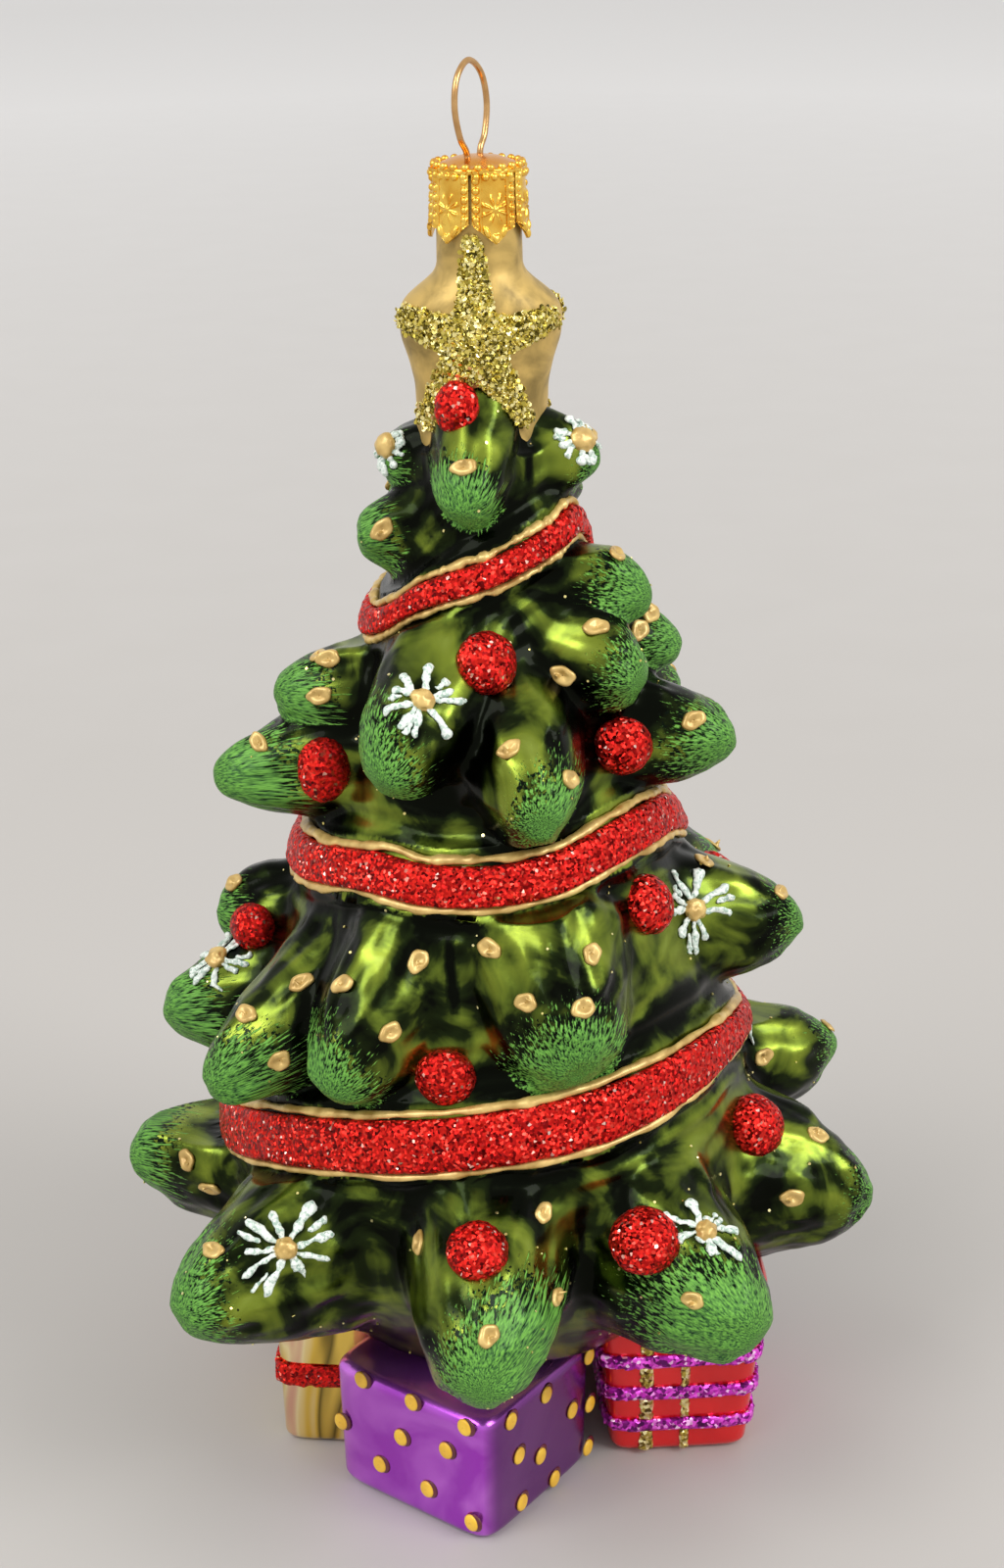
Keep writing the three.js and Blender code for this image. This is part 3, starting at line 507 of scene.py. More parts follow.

# Painted shade darkens the lacquer in the creases between branches, on the trunk just above the lowest seat, in
# the hollows and on the undersides
crease_shade = np.exp(-rival / 0.8) * np.clip(2.2 - np.abs(own_gap), 0, 1)
above = skin[:, 2] - seat_line(azimuth_of(skin), SEAT_LINES[2][1])[0]
crease_shade = np.maximum(crease_shade, 0.8 * np.clip(own_gap, 0, 1) * np.exp(-((above - 6) / 2.5) ** 2))
# Painted shade on the undersides, darker the more a face points down
under = 0.6 * np.clip(-out[:, 2] - 0.3, 0, 1)
sunk = np.clip(np.maximum(shade_of(skin, out), 0.95 * crease_shade) + under, 0, 1)

# Brushwork starts at a different share of each branch's length, and its strokes run from the tip inwards
dice = np.random.default_rng(11)
start = dice.uniform(0.58, 0.78, len(BRANCHES))[nearest]
bias = dice.uniform(-0.09, 0.09, len(BRANCHES))[nearest]
tip_paint = (share - start - bias * side / 2.4) / 0.4 - 2 * np.clip(own_gap - 0.6, 0, 1)
spread = 4.2 * (4.5 / np.maximum(np.hypot(side, over), 1.0)) ** 0.45
stroke = np.column_stack([side * spread + 0.5 * onward, over * spread + nearest * 17.0, onward * 0.42])

lacquer = Finish("lacquered_green_glass", roughness=0.3, specular_ior_level=0.25, coat_weight=0.06)
brush = lacquer.add("Attribute", "Vector", attribute_name="stroke")
tip = lacquer.add("Attribute", "Fac", attribute_name="tip")
sunken = lacquer.add("Attribute", "Fac", attribute_name="sunken")
hairs = lacquer.add("TexNoise", 0, {"Vector": brush, "Scale": 1.0, "Detail": 2.0, "Roughness": 0.6})
# The lacquer's green runs to near black as the painted shade deepens, over random mottling
green = lacquer.tones(lacquer.scaled(sunken, -0.7, lacquer.noise(150.0, 4.0, 0.8)),
                      (0.06, (0.002, 0.003, 0.001)), (0.18, (0.012, 0.02, 0.004)), (0.29, (0.10, 0.14, 0.017)),
                      (0.43, (0.21, 0.27, 0.03)), (0.60, (0.31, 0.39, 0.065)))
brushed = lacquer.ranged(lacquer.scaled(hairs, 2.4, tip), 1.42, 1.66)
sooty = lacquer.ranged(lacquer.scaled(lacquer.noise(1700.0, 2.0), 1.8, tip), 1.12, 1.2)
ground = lacquer.blend(sooty, green, (0.004, 0.008, 0.004))
leaf = lacquer.tones(hairs, (0.36, (0.012, 0.07, 0.016)), (0.64, (0.16, 0.42, 0.06)))
lift = lacquer.add("Math", 0, {0: brushed, 1: hairs}, operation="MULTIPLY")
tree_look = lacquer.done(base_color=lacquer.blend(brushed, ground, leaf),
                         metallic=lacquer.ranged(brushed, 0.0, 1.0, 0.96, 0.1),
                         roughness=lacquer.ranged(brushed, 0.0, 1.0, 0.27, 0.5),
                         normal=lacquer.relief(lift, 0.7, 0.0003))

middle = skin[faces].mean(1)
tier = sum((middle[:, 2] < seat_line(azimuth_of(middle), line)[0]).astype(int) for _, line in SEAT_LINES)
for level, name in enumerate(("branches_top", "branches_upper", "branches_lower", "branches_foot")):
    used, renumbered = np.unique(faces[tier == level], return_inverse=True)
    mesh = mesh_of(name, [(skin[used], renumbered.reshape(-1, 4), np.empty((0, 3), int))])
    finished(name, mesh, tree_look, "lacquered_glass", ["glass_shell"],
             tip=tip_paint[used], sunken=sunk[used], stroke=stroke[used])


# Neck and star: the bulb's top, a plain neck over a puffed star, in matt gold lacquer whose lower edge is
# ragged where it meets the green. The neck's wall turns inwards at its lip and widens again inside the
# star.
STAR_Z = 136.3
STAR_TURN = -6
GOLD_EDGE_Z = 122.2
# Height above the star's middle, half width and half depth, down the outside and up over the lip to the
# inside
STAR_SECTIONS = np.array([
    (-15.5, 7.3, 6.6), (-11.1, 7.5, 6.4), (-8.6, 7.2, 6), (-5.4, 7.3, 5.8), (-2.8, 7.9, 6), (-0.4, 8.7, 6.2),
    (1.9, 8.9, 6.2), (3.6, 8.4, 5.9), (4.9, 6.96, 5.52), (6, 5.47, 5.01), (7, 4.65, 4.65), (16.5, 4.5, 4.5),
    (16.9, 4.4, 4.4), (17.2, 4.15, 4.15), (17.3, 3.8, 3.8), (17.2, 3.4, 3.4), (16.5, 3.2, 3.2), (10, 3.2, 3.2),
    (6.5, 3.8, 3.8), (4, 4.5, 4.5), (0, 4.5, 4.5)])
STAR_OUTSIDE = STAR_SECTIONS[:12]


def piece(name, parts, look, slot, nodes=(), body="glass"):
    """One finished piece from its closed parts."""
    finished(name, mesh_of(name, [facing_out(part) for part in parts]), look, slot, nodes, body)


def star_skin(azimuth, height):
    """A point of the star's or neck's skin: an ellipse whose half width and half depth run smoothly with
    height."""
    z = height - STAR_Z
    soft = [np.interp(z + shift, STAR_OUTSIDE[:, 0], STAR_OUTSIDE[:, k])
            for shift in (-0.5, 0, 0.5) for k in (1, 2)]
    wide, deep = sum(soft[0::2]) / 3, sum(soft[1::2]) / 3
    angle = np.radians(azimuth)
    return grid(wide * np.sin(angle), -deep * np.cos(angle), height)


turn = np.linspace(-180, 180, 120, endpoint=False)[None, :]
outer_skin = star_skin(turn, np.linspace(STAR_Z - 15.5, STAR_Z + 16.4, 110)[:, None])
lip = np.stack([at(turn[0], wide, STAR_Z + z) for z, wide, _ in STAR_SECTIONS[12:]])
gold = Finish("matt_gold_lacquer", metallic=0.5, roughness=0.5, coat_weight=0.1, coat_roughness=0.3)
tone = gold.tones(gold.noise(240.0, 5.0, 0.6), (0.32, (0.25, 0.17, 0.045)), (0.58, (0.60, 0.41, 0.12)))
height = gold.add("SeparateXYZ", "Z", {"Vector": gold.place})
ragged = gold.scaled(gold.noise(260.0, 3.0), -0.005, height)
edge = gold.ranged(ragged, GOLD_EDGE_Z * MM, (GOLD_EDGE_Z + 0.4) * MM)
gold_look = gold.done(base_color=gold.blend(edge, (0.02, 0.03, 0.008), tone),
                      normal=gold.relief(gold.noise(1400.0, 2.0), 0.25, 0.0001))
piece("star_and_neck", [surface(np.concatenate([outer_skin, lip]))], gold_look, "lacquered_glass",
      ["glass_shell"])

# Gifts: five wrapped boxes moulded into the foot of the bulb. Their walls are slightly puffed and lean
# outwards, with soft corners, and each has its own lacquer.
GIFT_EDGE = 1.4
GIFT_SQUARENESS = 9
# Front corner, turn, width, depth and height, and how far the walls lean out at the top
GIFTS = {
    "gift_violet": ((-1.6, -31.7), 53, (21.5, 23, 17), 0.3),
    "gift_plaid": ((13.6, -14.4), 3, (17, 20, 25), 2.2),
    "gift_gold": ((-27.2, -10.8), -6, (16, 18, 22), 0.4),
    "gift_back_left": ((-22, 12), 12, (18, 15, 22), 0.6),
    "gift_back_right": ((3, 14), -10, (19, 14, 22), 0.6),
}


def gift_place(name, local):
    """A gift's own frame to the ornament's: turned about Z, with its front corner at the given spot."""
    corner, turn, _, _ = GIFTS[name]
    c, s = math.cos(math.radians(turn)), math.sin(math.radians(turn))
    x, y, z = np.moveaxis(np.asarray(local, float), -1, 0)
    return np.stack([corner[0] + c * x - s * y, corner[1] + s * x + c * y, z], -1)


def blunt(wave, power):
    """A sine or cosine with its sign kept and its size raised to a power."""
    return np.sign(wave) * np.abs(wave) ** power


def gift_rings(name, z, inset=0.0, grow=0.0, columns=160):
    """Rings round a gift at the given heights, in from its walls or out from them: circles made nearly
    square."""
    _, _, (width, depth, height), flare = GIFTS[name]
    square = blunt(np.stack([np.cos(turns(columns)), np.sin(turns(columns))]), 2 / GIFT_SQUARENESS)
    square /= np.abs(square).max()
    spread = 1 + 2 * flare * z / height / width
    x = width / 2 + square[0] * ((width / 2 - inset) * spread + grow)
    y = depth / 2 + square[1] * ((depth / 2 - inset) * spread + grow)
    return gift_place(name, grid(x, y, z))


def gift_skin(name, rows=64):
    """A box with round edges: its rings are drawn in over a quarter circle at foot and top."""
    height = GIFTS[name][2][2]
    bend = np.linspace(0, np.pi / 2, 10)
    low = GIFT_EDGE - GIFT_EDGE * np.stack([np.sin(bend), np.cos(bend)], -1)
    wall = grid(0.0, np.linspace(GIFT_EDGE, height - GIFT_EDGE, rows + 2)[1:-1])
    high = np.stack([low[::-1, 0], height - low[::-1, 1]], -1)
    inset, z = np.concatenate([[[GIFT_EDGE + 4, 0]], low, wall, high, [[GIFT_EDGE + 4, height]]]).T[..., None]
    return surface(gift_rings(name, z, inset))


def mottled(name, scale, dark, light, detail=3.0, dents=None, **sockets):
    """A finish whose colour drifts in soft clouds from dark to light. dents are the strength and depth of
    relief."""
    look = Finish(name, **sockets)
    drift = look.noise(scale, detail)
    relief = {"normal": look.relief(drift, *dents)} if dents else {}
    return look.done(base_color=look.tones(drift, dark, light), **relief)


violet = Finish("violet_lacquer", metallic=0.85, roughness=0.24, coat_weight=0.3, coat_roughness=0.05)
smear = violet.noise(70.0, 4.0, 1.0)
tone = violet.tones(smear, (0.34, (0.41, 0.045, 0.60)), (0.66, (0.80, 0.26, 1.0)))
# Painted shade: the walls that face towards +X are darkened to a deep violet
rightward = violet.add("SeparateXYZ", "X", {"Vector": violet.add("NewGeometry", "Normal")})
right_side_shade = violet.ranged(rightward, 0.0, 0.7, 0.0, 0.86)
violet_look = violet.done(base_color=violet.blend(right_side_shade, tone, (0.13, 0.02, 0.17)),
                          normal=violet.relief(smear, 0.3, 0.0006))
mirror = Finish("mirror_gold_lacquer", metallic=1.0, roughness=0.12, coat_weight=0.5, coat_roughness=0.03)
mirror.place = mirror.add("VectorMath", 0, {0: mirror.place, 1: (1.0, 1.0, 0.3)}, operation="MULTIPLY")
# Painted reflections: tall streaks of pink, cream, near-black and gold stand for the surroundings seen in the
# mirror gold; they also drive its bumps
reflection_streaks = mirror.noise(95.0, 2.0, 1.0)
tone = mirror.tones(reflection_streaks, (0.34, (0.66, 0.16, 0.20)), (0.42, (1.0, 0.84, 0.45)), (0.49, (0.84, 0.56, 0.08)),
                    (0.57, (0.16, 0.11, 0.015)), (0.66, (0.86, 0.60, 0.10)))
mirror_look = mirror.done(base_color=tone, normal=mirror.relief(reflection_streaks, 0.4, 0.0012))
red_look = mottled("red_lacquer", 80.0, (0.3, (0.60, 0.006, 0.008)), (0.7, (0.92, 0.02, 0.02)),
                   metallic=0.5, roughness=0.2, coat_weight=0.5, coat_roughness=0.03)
blue_look = mottled("blue_lacquer", 80.0, (0.3, (0.010, 0.08, 0.25)), (0.7, (0.035, 0.17, 0.44)),
                    metallic=0.6, roughness=0.2, coat_weight=0.8)
for name, look in zip(GIFTS, (violet_look, red_look, mirror_look, red_look, blue_look)):
    piece(name, [gift_skin(name)], look, "lacquered_glass", ["glass_shell"])

# Garlands: bands of fine red glitter sunk in clear varnish, laid thick on each seat of the glass and closed
# round the tree.
RING_STEPS = 1400
# Red glitter colours; the palest stops, a few flakes near white, are painted glints
RED_AND_GLINT_STOPS = [(0.0, (0.10, 0.002, 0.003)), (0.4, (0.52, 0.010, 0.009)), (0.87, (0.92, 0.032, 0.020)),
             (0.975, (0.95, 0.10, 0.07)), (0.99, (1.0, 0.55, 0.45)), (1.0, (1.0, 0.80, 0.72))]


def seat_ring(seat, section):
    """A closed band round the trunk: the section's [out, up] points follow the seat's line, and narrow
    where the line says so."""
    wide, line = SEAT_LINES[seat]
    azimuth = np.linspace(-180, 180, RING_STEPS, endpoint=False)[:, None]
    middle, loss = seat_line(azimuth, line)
    out, up = section[..., 0], section[..., 1]
    z = middle + up - np.sign(up) * loss * np.minimum(1, np.abs(up) / wide)
    return at(azimuth, trunk_radius(z) + SEAT_LIFT + out, z)


def glitter(name, scale, tilt, stops, **sockets):
    """A finish of small flat flakes, each with a colour drawn from the stops and a face leaned at random."""
    look = Finish(name, **sockets)
    flakes = look.add("TexVoronoi", "Color", {"Vector": look.place, "Scale": scale})
    centred = look.add("VectorMath", 0, {0: flakes, 1: (0.5, 0.5, 0.5)}, operation="SUBTRACT")
    swing = look.add("VectorMath", 0, {0: centred, "Scale": tilt}, operation="SCALE")
    leaned = look.add("VectorMath", 0, {0: look.add("NewGeometry", "Normal"), 1: swing}, operation="ADD")
    return look.done(base_color=look.tones(look.add("SeparateXYZ", "X", {"Vector": flakes}), *stops),
                     normal=look.add("VectorMath", 0, {0: leaned}, operation="NORMALIZE"))


red_glitter = glitter("red_glitter", 3300.0, 1.1, RED_AND_GLINT_STOPS, metallic=0.85, roughness=0.38,
                      specular_ior_level=0.2)
for seat, (wide, line) in enumerate(SEAT_LINES):
    turn = turns(36)
    proud = 0.95 + 0.75 * blunt(np.sin(turn), 0.7)
    band = seat_ring(seat, np.stack([proud, wide * blunt(np.cos(turn), 0.55)], -1)[None])
    rough = 0.1 * cloud(band, 0.45, 3 + seat) + 0.14 * cloud(band, 2.6, 6 + seat)
    band = band + at(azimuth_of(band), 1, 0) * rough[..., None]
    piece(f"garland_{seat + 1}_glitter", [surface(band, "ring")], red_glitter, "red_glitter",
          [f"garland_{seat + 1}"])

# Piping: thick gold enamel trailed from a brush along both edges of each garland, uneven in width and line as
# a hand leaves it.
gold_enamel = mottled("gold_enamel", 500.0, (0.3, (0.40, 0.24, 0.055)), (0.68, (0.78, 0.55, 0.19)), 4.0,
                      (0.5, 0.0002), metallic=0.35, roughness=0.38, coat_weight=0.3, coat_roughness=0.2)
for seat, (wide, line) in enumerate(SEAT_LINES):
    for side, word in ((1, "upper"), (-1, "lower")):
        route = at(np.linspace(-180, 180, RING_STEPS, endpoint=False)[:, None], 20, seat * 30.0 + side * 9)
        thick = 0.5 + 0.22 * cloud(route, 2.4, 20) + 0.14 * cloud(route, 0.9, 21)
        waver = 0.26 * cloud(route, 3.5, 22) + 0.08 * cloud(route, 0.9, 23)
        turn = turns(14)[None, :]
        section = grid(0.55 + thick * np.sin(turn), side * (wide + 0.5) + waver + thick * 0.9 * np.cos(turn))
        piece(f"piping_{word}_{seat + 1}_trail", [surface(seat_ring(seat, section), "ring")], gold_enamel,
              "gold_paint", [f"piping_{word}_{seat + 1}"])

# Baubles: domes of the same red glitter, built up in thick varnish on the branches. Most are round, and two
# have run a little down the branch.
# Azimuth, height and radius
BAUBLES = [(-18, 129.3, 2.5), (0, 103.2, 3.5), (56, 91.8, 3.3), (-65, 89, 3), (-87, 66.3, 3), (52, 74, 3.4),
           (-11, 59.5, 3.4), (70, 44, 3.7), (27, 41.6, 3.9), (-3, 44.6, 3.4), (148, 102, 3.2), (-150, 97, 3.2),
           (100, 69, 3.4), (-160, 69, 3.4), (150, 41, 3.6), (-128, 37, 3.6)]
LONG_BAUBLES = (0, 3)


def upright(outward):
    """The level and the upward direction square to an outward one."""
    tall = unit(np.array([0, 0, 1.0]) - outward * outward[2])
    return np.cross(tall, outward), tall


def ball(centre, outward, radius, deep, rows=26, columns=44, rough=0.1, seed=0, stretch=1.0):
    """A flattened ball whose short axis points outward, with a rough skin."""
    level, tall = upright(outward)
    fall = np.linspace(0.06, np.pi - 0.06, rows)[:, None, None]
    turn = turns(columns)[None, :, None]
    points = centre + (np.sin(fall) * radius * (np.cos(turn) * level + stretch * np.sin(turn) * tall)
                       + np.cos(fall) * deep * outward)
    swell = 1 + rough / radius * (cloud(points, 0.45, seed) + 1.2 * cloud(points, 1.8, seed + 1))[..., None]
    return surface(centre + (points - centre) * swell)


spots, outward = reach_glass([b[0] for b in BAUBLES], [b[1] for b in BAUBLES])
for i, (azimuth, z, radius) in enumerate(BAUBLES):
    centre = spots[i] + outward[i] * 0.2
    if i == 0:
        centre, outward[i] = star_skin(azimuth, z) + at(azimuth, 1.4, 0), at(azimuth, 1, 0)
    stretch = 1.25 if i in LONG_BAUBLES else 1.0
    dome = ball(centre, outward[i], radius, radius * 0.7, seed=30 + i, stretch=stretch)
    piece(f"bauble_{i + 1}_glitter", [dome], red_glitter, "red_glitter", [f"bauble_{i + 1}"])

# Snowflakes: thick strokes of white enamel dusted with fine glitter, drawn outwards with a brush from a gold
# dot. Every third stroke has a short one beside it.
# Azimuth, height and reach
SNOWFLAKES = [(-19, 101, 4.8), (-38, 40, 5.2), (70, 71, 4.8), (36, 42.5, 4.8), (104, 49.5, 4.6), (-85, 63, 4.6),
              (72, 125, 3.4), (-84, 124, 3.2), (172, 67, 4.8)]
STROKES = 9
LONG_FLAKE, LONG_WAY = 3, math.radians(-48)
white = Finish("white_glitter_enamel", metallic=0.05, roughness=0.45, coat_weight=0.2)
flakes = white.add("TexVoronoi", "Color", {"Vector": white.place, "Scale": 3600.0})
chance = white.add("SeparateXYZ", 0, {"Vector": flakes}).node.outputs
tone = white.tones(chance["X"], (0.0, (0.30, 0.44, 0.36)), (0.6, (0.80, 0.86, 0.80)))
white_look = white.done(base_color=tone, normal=white.relief(chance["Y"], 0.6, 0.00012))


def stroke_on_glass(centre, outward, angle, start, end, wide, seed):
    """A brush stroke laid on the glass: a flat pod that swells to its outer end, domed across, with ragged
    edges."""
    level, tall = upright(outward)
    s = np.linspace(0, 1, 18)[:, None]
    way = math.cos(angle) * level + math.sin(angle) * tall
    cross = -math.sin(angle) * level + math.cos(angle) * tall
    turn = turns(12)[None, :]
    half = wide * (0.5 + 0.5 * s) * np.sqrt(np.clip(1 - (2 * s - 1) ** 6, 0.02, 1))
    half = half * (1 + 0.35 * cloud(np.concatenate([s * 6, s * 0, s * 0 + seed], -1), 1.0, seed)[:, None])
    flat = centre + (start + (end - start) * s)[..., None] * way + (half * np.cos(turn))[..., None] * cross
    flat = flat + (0.16 * cloud(flat, 0.5, seed) + 0.3 * cloud(flat, 2.0, seed + 1))[..., None] * cross
    foot, lifted = settle(flat)
    rise = 0.14 + 0.36 * np.sin(turn) * half / wide + 0.16 * cloud(flat, 0.5, seed + 1)
    return surface(foot + lifted * rise[..., None])


spots, outward = reach_glass([f[0] for f in SNOWFLAKES], [f[1] for f in SNOWFLAKES])
for i, (azimuth, z, reach) in enumerate(SNOWFLAKES):
    spot, outwards = spots[i], outward[i]
    dice = np.random.default_rng(60 + i)
    strokes = []
    for k in range(STROKES):
        angle = (k + dice.uniform(-0.3, 0.3)) * math.tau / STROKES + 0.35
        far = reach * dice.uniform(0.8, 1.18)
        if i == LONG_FLAKE:
            far *= 0.42 + 0.8 * math.cos(angle - LONG_WAY) ** 2
        wide = dice.uniform(0.48, 0.66)
        strokes.append(stroke_on_glass(spot, outwards, angle, 0.8, far, wide, 70 + STROKES * i + k))
        if k % 3 == 0:
            angle += dice.choice([-0.3, 0.3])
            strokes.append(stroke_on_glass(spot, outwards, angle, far * 0.55, far * 1.02, 0.45,
                                           300 + STROKES * i + k))
    piece(f"snowflake_{i + 1}_strokes", strokes, white_look, "white_glitter", [f"snowflake_{i + 1}"])
    dot = ball(spot + outwards * 0.2, outwards, 1.3, 0.85, 20, 32, 0.22, 80 + i)
    piece(f"snowflake_{i + 1}_dot", [dot], gold_enamel, "gold_paint")

# Paint drops: small oval dabs of the piping's gold enamel on the branches, each with a dimple, a raised rim
# and a thorn where the brush left it.
# Azimuth and height
DROPS = [(-9.5, 124.2), (-62.2, 115.9), (80, 125.4), (66.2, 112.9), (47.1, 106), (83.4, 102.6), (90, 104),
         (33.2, 101), (6.1, 96), (22.1, 92.4), (69.1, 94.2), (-77.3, 101), (-72, 101.1), (-68.5, 97.3),
         (-76.5, 91.4), (-95.1, 70.3), (-48.7, 67.4), (-33.8, 69.9), (-19.2, 71.8), (-21.7, 65.6), (-46.3, 59.7),
         (-54.3, 64.1), (-0.3, 73.9), (23.1, 73.6), (7.4, 69.4), (18.2, 69.2), (81.9, 74.8), (83.8, 70.8),
         (95.4, 45.5), (-90, 40.5), (-81.4, 37.4), (-78.4, 34.3), (-46.4, 40), (-14.4, 42.4), (9.5, 45.1),
         (9.8, 38.3), (-1.1, 38.7), (30, 37.1), (67.5, 36.1), (76.2, 41.6)]
BACK_DROPS = [(a, z + 3) for a, z in zip(TIP_AZIMUTH, TIP_Z) if abs(a) > 100]


def drop(centre, outward, seed):
    """A low dome with a dimple in its middle and a thorn beside it, both as bell curves of the distance."""
    dice = np.random.default_rng(seed)
    level, tall = upright(outward)
    spin = dice.uniform(-0.8, 0.8)
    wide, high = dice.uniform(1.35, 1.65), dice.uniform(0.95, 1.15)
    r = np.concatenate([np.linspace(1, 0.04, 16), [0.04]])[:, None]
    turn = turns(30)[None, :]
    ragged = 1 + 0.05 * np.sin(3 * turn + seed) + 0.04 * np.sin(5 * turn + 2 * seed)
    x, y = r * ragged * np.cos(turn), r * ragged * np.sin(turn)
    away = dice.uniform(0, math.tau)
    thorn = np.exp(-((x - 0.4 * math.cos(away)) ** 2 + (y - 0.4 * math.sin(away)) ** 2) / 0.022)
    rise = 0.46 * np.sqrt(np.clip(1 - r ** 4, 0, 1)) - 0.36 * np.exp(-(r / 0.45) ** 2)
    rise = rise + dice.uniform(0.15, 1.05) ** 2 * thorn + 0.05 * np.sin(5 * x + seed) * np.sin(4 * y)
    rise[-1] = -0.4
    c, s = math.cos(spin), math.sin(spin)
    pulled = y * high + dice.uniform(0.0, 0.5) * thorn
    return surface(centre + (c * x * wide - s * pulled)[..., None] * level
                   + (s * x * wide + c * pulled)[..., None] * tall + rise[..., None] * outward)


for name, places in (("paint_drops_front", DROPS), ("paint_drops_back", BACK_DROPS)):
    spots, outward = reach_glass(*np.array(places).T)
    piece(name, [drop(spots[i], outward[i], 200 + i) for i in range(len(places))], gold_enamel, "gold_paint")

# Star glitter: coarse gold flakes of many tilts, strewn thick into varnish on a star shape on both faces of
# the puffed star.
STAR_FLAKES = 8600
# Direction, reach and half width of each arm's tip
STAR_TIPS = [(90, 10.9, 0.75), (14, 8.8, 1.2), (-60, 10.5, 0.95), (-120, 11, 1.0), (163, 8.7, 1.2)]
STAR_MIDDLE = 2.8
FLAKE_SIDES = 6
coarse = Finish("coarse_gold_glitter", metallic=0.9, roughness=0.3)
shade = coarse.add("Attribute", "Fac", attribute_name="shade")
tone = coarse.tones(shade, (0.0, (0.07, 0.055, 0.006)), (0.5, (0.74, 0.60, 0.10)), (0.95, (1.0, 0.90, 0.45)))
star_glitter = coarse.done(base_color=tone)


def inside_star(x, z):
    """How far inside the star's outline a spot is: five arms that narrow from the middle to a round tip."""
    best = np.full(len(x), -9.0)
    for angle, reach, arm in STAR_TIPS:
        c, s = math.cos(math.radians(angle)), math.sin(math.radians(angle))
        share = np.clip((x * c + z * s) / (reach - arm), 0, 1)
        gap = np.hypot(x - share * (reach - arm) * c, z - share * (reach - arm) * s)
        best = np.maximum(best, STAR_MIDDLE + (arm - STAR_MIDDLE) * share ** 0.7 - gap)
    return best


def strewn(name, centre, normal, size, shade, dice, nodes=()):
    """A piece of thin six-sided flakes, each square to its own direction and turned at random."""
    normal = unit(normal)
    one = unit(np.cross(normal, dice.normal(0, 1, (len(size), 3))))
    two = np.cross(normal, one)
    turn = turns(FLAKE_SIDES)[None, :, None]
    rims = centre[:, None] + size[:, None, None] * (np.cos(turn) * one[:, None] + np.sin(turn) * two[:, None])
    thick = normal[:, None] * 0.05
    corners = np.concatenate([rims + thick, rims - thick], 1).reshape(-1, 3)
    first = (np.arange(len(size)) * 2 * FLAKE_SIDES)[:, None]
    ring = np.arange(FLAKE_SIDES)
    ahead = (ring + 1) % FLAKE_SIDES
    walls = np.stack([ring + FLAKE_SIDES, ahead + FLAKE_SIDES, ahead, ring], -1)
    walls = (first[:, :, None] + walls[None]).reshape(-1, 4)
    lids = np.concatenate([first + lid for lid in ([0, 1, 2, 3], [0, 3, 4, 5], [9, 8, 7, 6], [11, 10, 9, 6])])
    mesh = bpy.data.meshes.new(name)
    mesh.from_pydata((corners * MM).tolist(), [], walls.tolist() + lids.tolist())
    finished(name, mesh, star_glitter, "gold_glitter", nodes, shade=np.repeat(shade, 2 * FLAKE_SIDES))


for back, word in ((False, "front"), (True, "back")):
    dice = np.random.default_rng(7 + back)
    x, z = dice.uniform(-11, 11, STAR_FLAKES * 3), dice.uniform(-11.5, 11, STAR_FLAKES * 3)
    keep = inside_star(x, z) > dice.uniform(-0.35, 0.2, STAR_FLAKES * 3)
    x, z = x[keep][:STAR_FLAKES], z[keep][:STAR_FLAKES]
    section = np.interp(z, STAR_OUTSIDE[:, 0], STAR_OUTSIDE[:, 1])
    aside = x + 6 * math.sin(math.radians(STAR_TURN))
    on_star = np.abs(aside) < section - 0.3
    x, z, aside, section = x[on_star], z[on_star], aside[on_star], section[on_star]
    azimuth = np.degrees(np.arcsin(aside / section)) + (180 if back else 0)
    puff = 0.35 * np.clip(inside_star(x, z) / 1.5, 0, 1)
    centre = star_skin(azimuth, z + STAR_Z) + at(azimuth, dice.uniform(0.1, 0.75, len(z)) + puff, 0)
    normal = at(azimuth, 1, 0) + dice.normal(0, 0.5, (len(z), 3))
    size, shade = dice.uniform(0.15, 0.31, len(z)), dice.uniform(0, 1, len(z))
    strewn(f"star_flakes_{word}", centre, normal, size, shade, dice, [f"star_glitter_{word}"])

# Stray glitter: single flakes of the star's gold glitter that fell on the branches while the varnish was wet
# and stuck there.
STRAYS = 420
dice = np.random.default_rng(19)
chosen = dice.choice(len(skin), STRAYS, replace=False)
strewn("stray_flakes", skin[chosen] + out[chosen] * 0.06, out[chosen] + dice.normal(0, 0.25, (STRAYS, 3)),
       dice.uniform(0.1, 0.2, STRAYS), dice.uniform(0.6, 1, STRAYS), dice)

# Dots on the violet gift: round dabs of yellow enamel, each over a painted reflection of itself, a dark maroon
# dab set a little off, which shows as a crescent at its right edge.
# Way along the wall from the front corner, and height
LEFT_DOTS = [(18.1, 16.2), (10.5, 16.2), (2.7, 16), (21.7, 8.7), (12.4, 10.4), (5.6, 11.5), (15.9, 5),
             (8.7, 4.6), (2.2, 2.7)]
RIGHT_DOTS = [(4.4, 15.3), (6, 9.5), (10.3, 6.8), (13.2, 1.7), (6.6, 2.4), (20.2, 2), (16.8, 9.5), (20.5, 8.2),
              (11.4, 14.9), (20.2, 15.3)]
yellow_enamel = mottled("yellow_enamel", 400.0, (0.3, (0.72, 0.39, 0.02)), (0.7, (0.96, 0.60, 0.045)),
                        roughness=0.4, coat_weight=0.3)
maroon_painted_reflection = mottled("maroon_painted_reflection", 400.0, (0.3, (0.07, 0.005, 0.012)), (0.7, (0.14, 0.016, 0.03)),
                        roughness=0.4, coat_weight=0.3)


def dab(centre, outward, radius, high):
    """A thin round dome on a flat wall, a little taller than wide."""
    level, tall = upright(outward)
    r = np.concatenate([np.linspace(1, 0.05, 9), [0.05]])[:, None, None]
    turn = turns(28)[None, :, None]
    rise = high * np.sqrt(np.clip(1 - r ** 3, 0, 1))
    rise[-1] = -0.3
    return surface(centre + r * radius * (np.cos(turn) * level + 1.12 * np.sin(turn) * tall) + rise * outward)


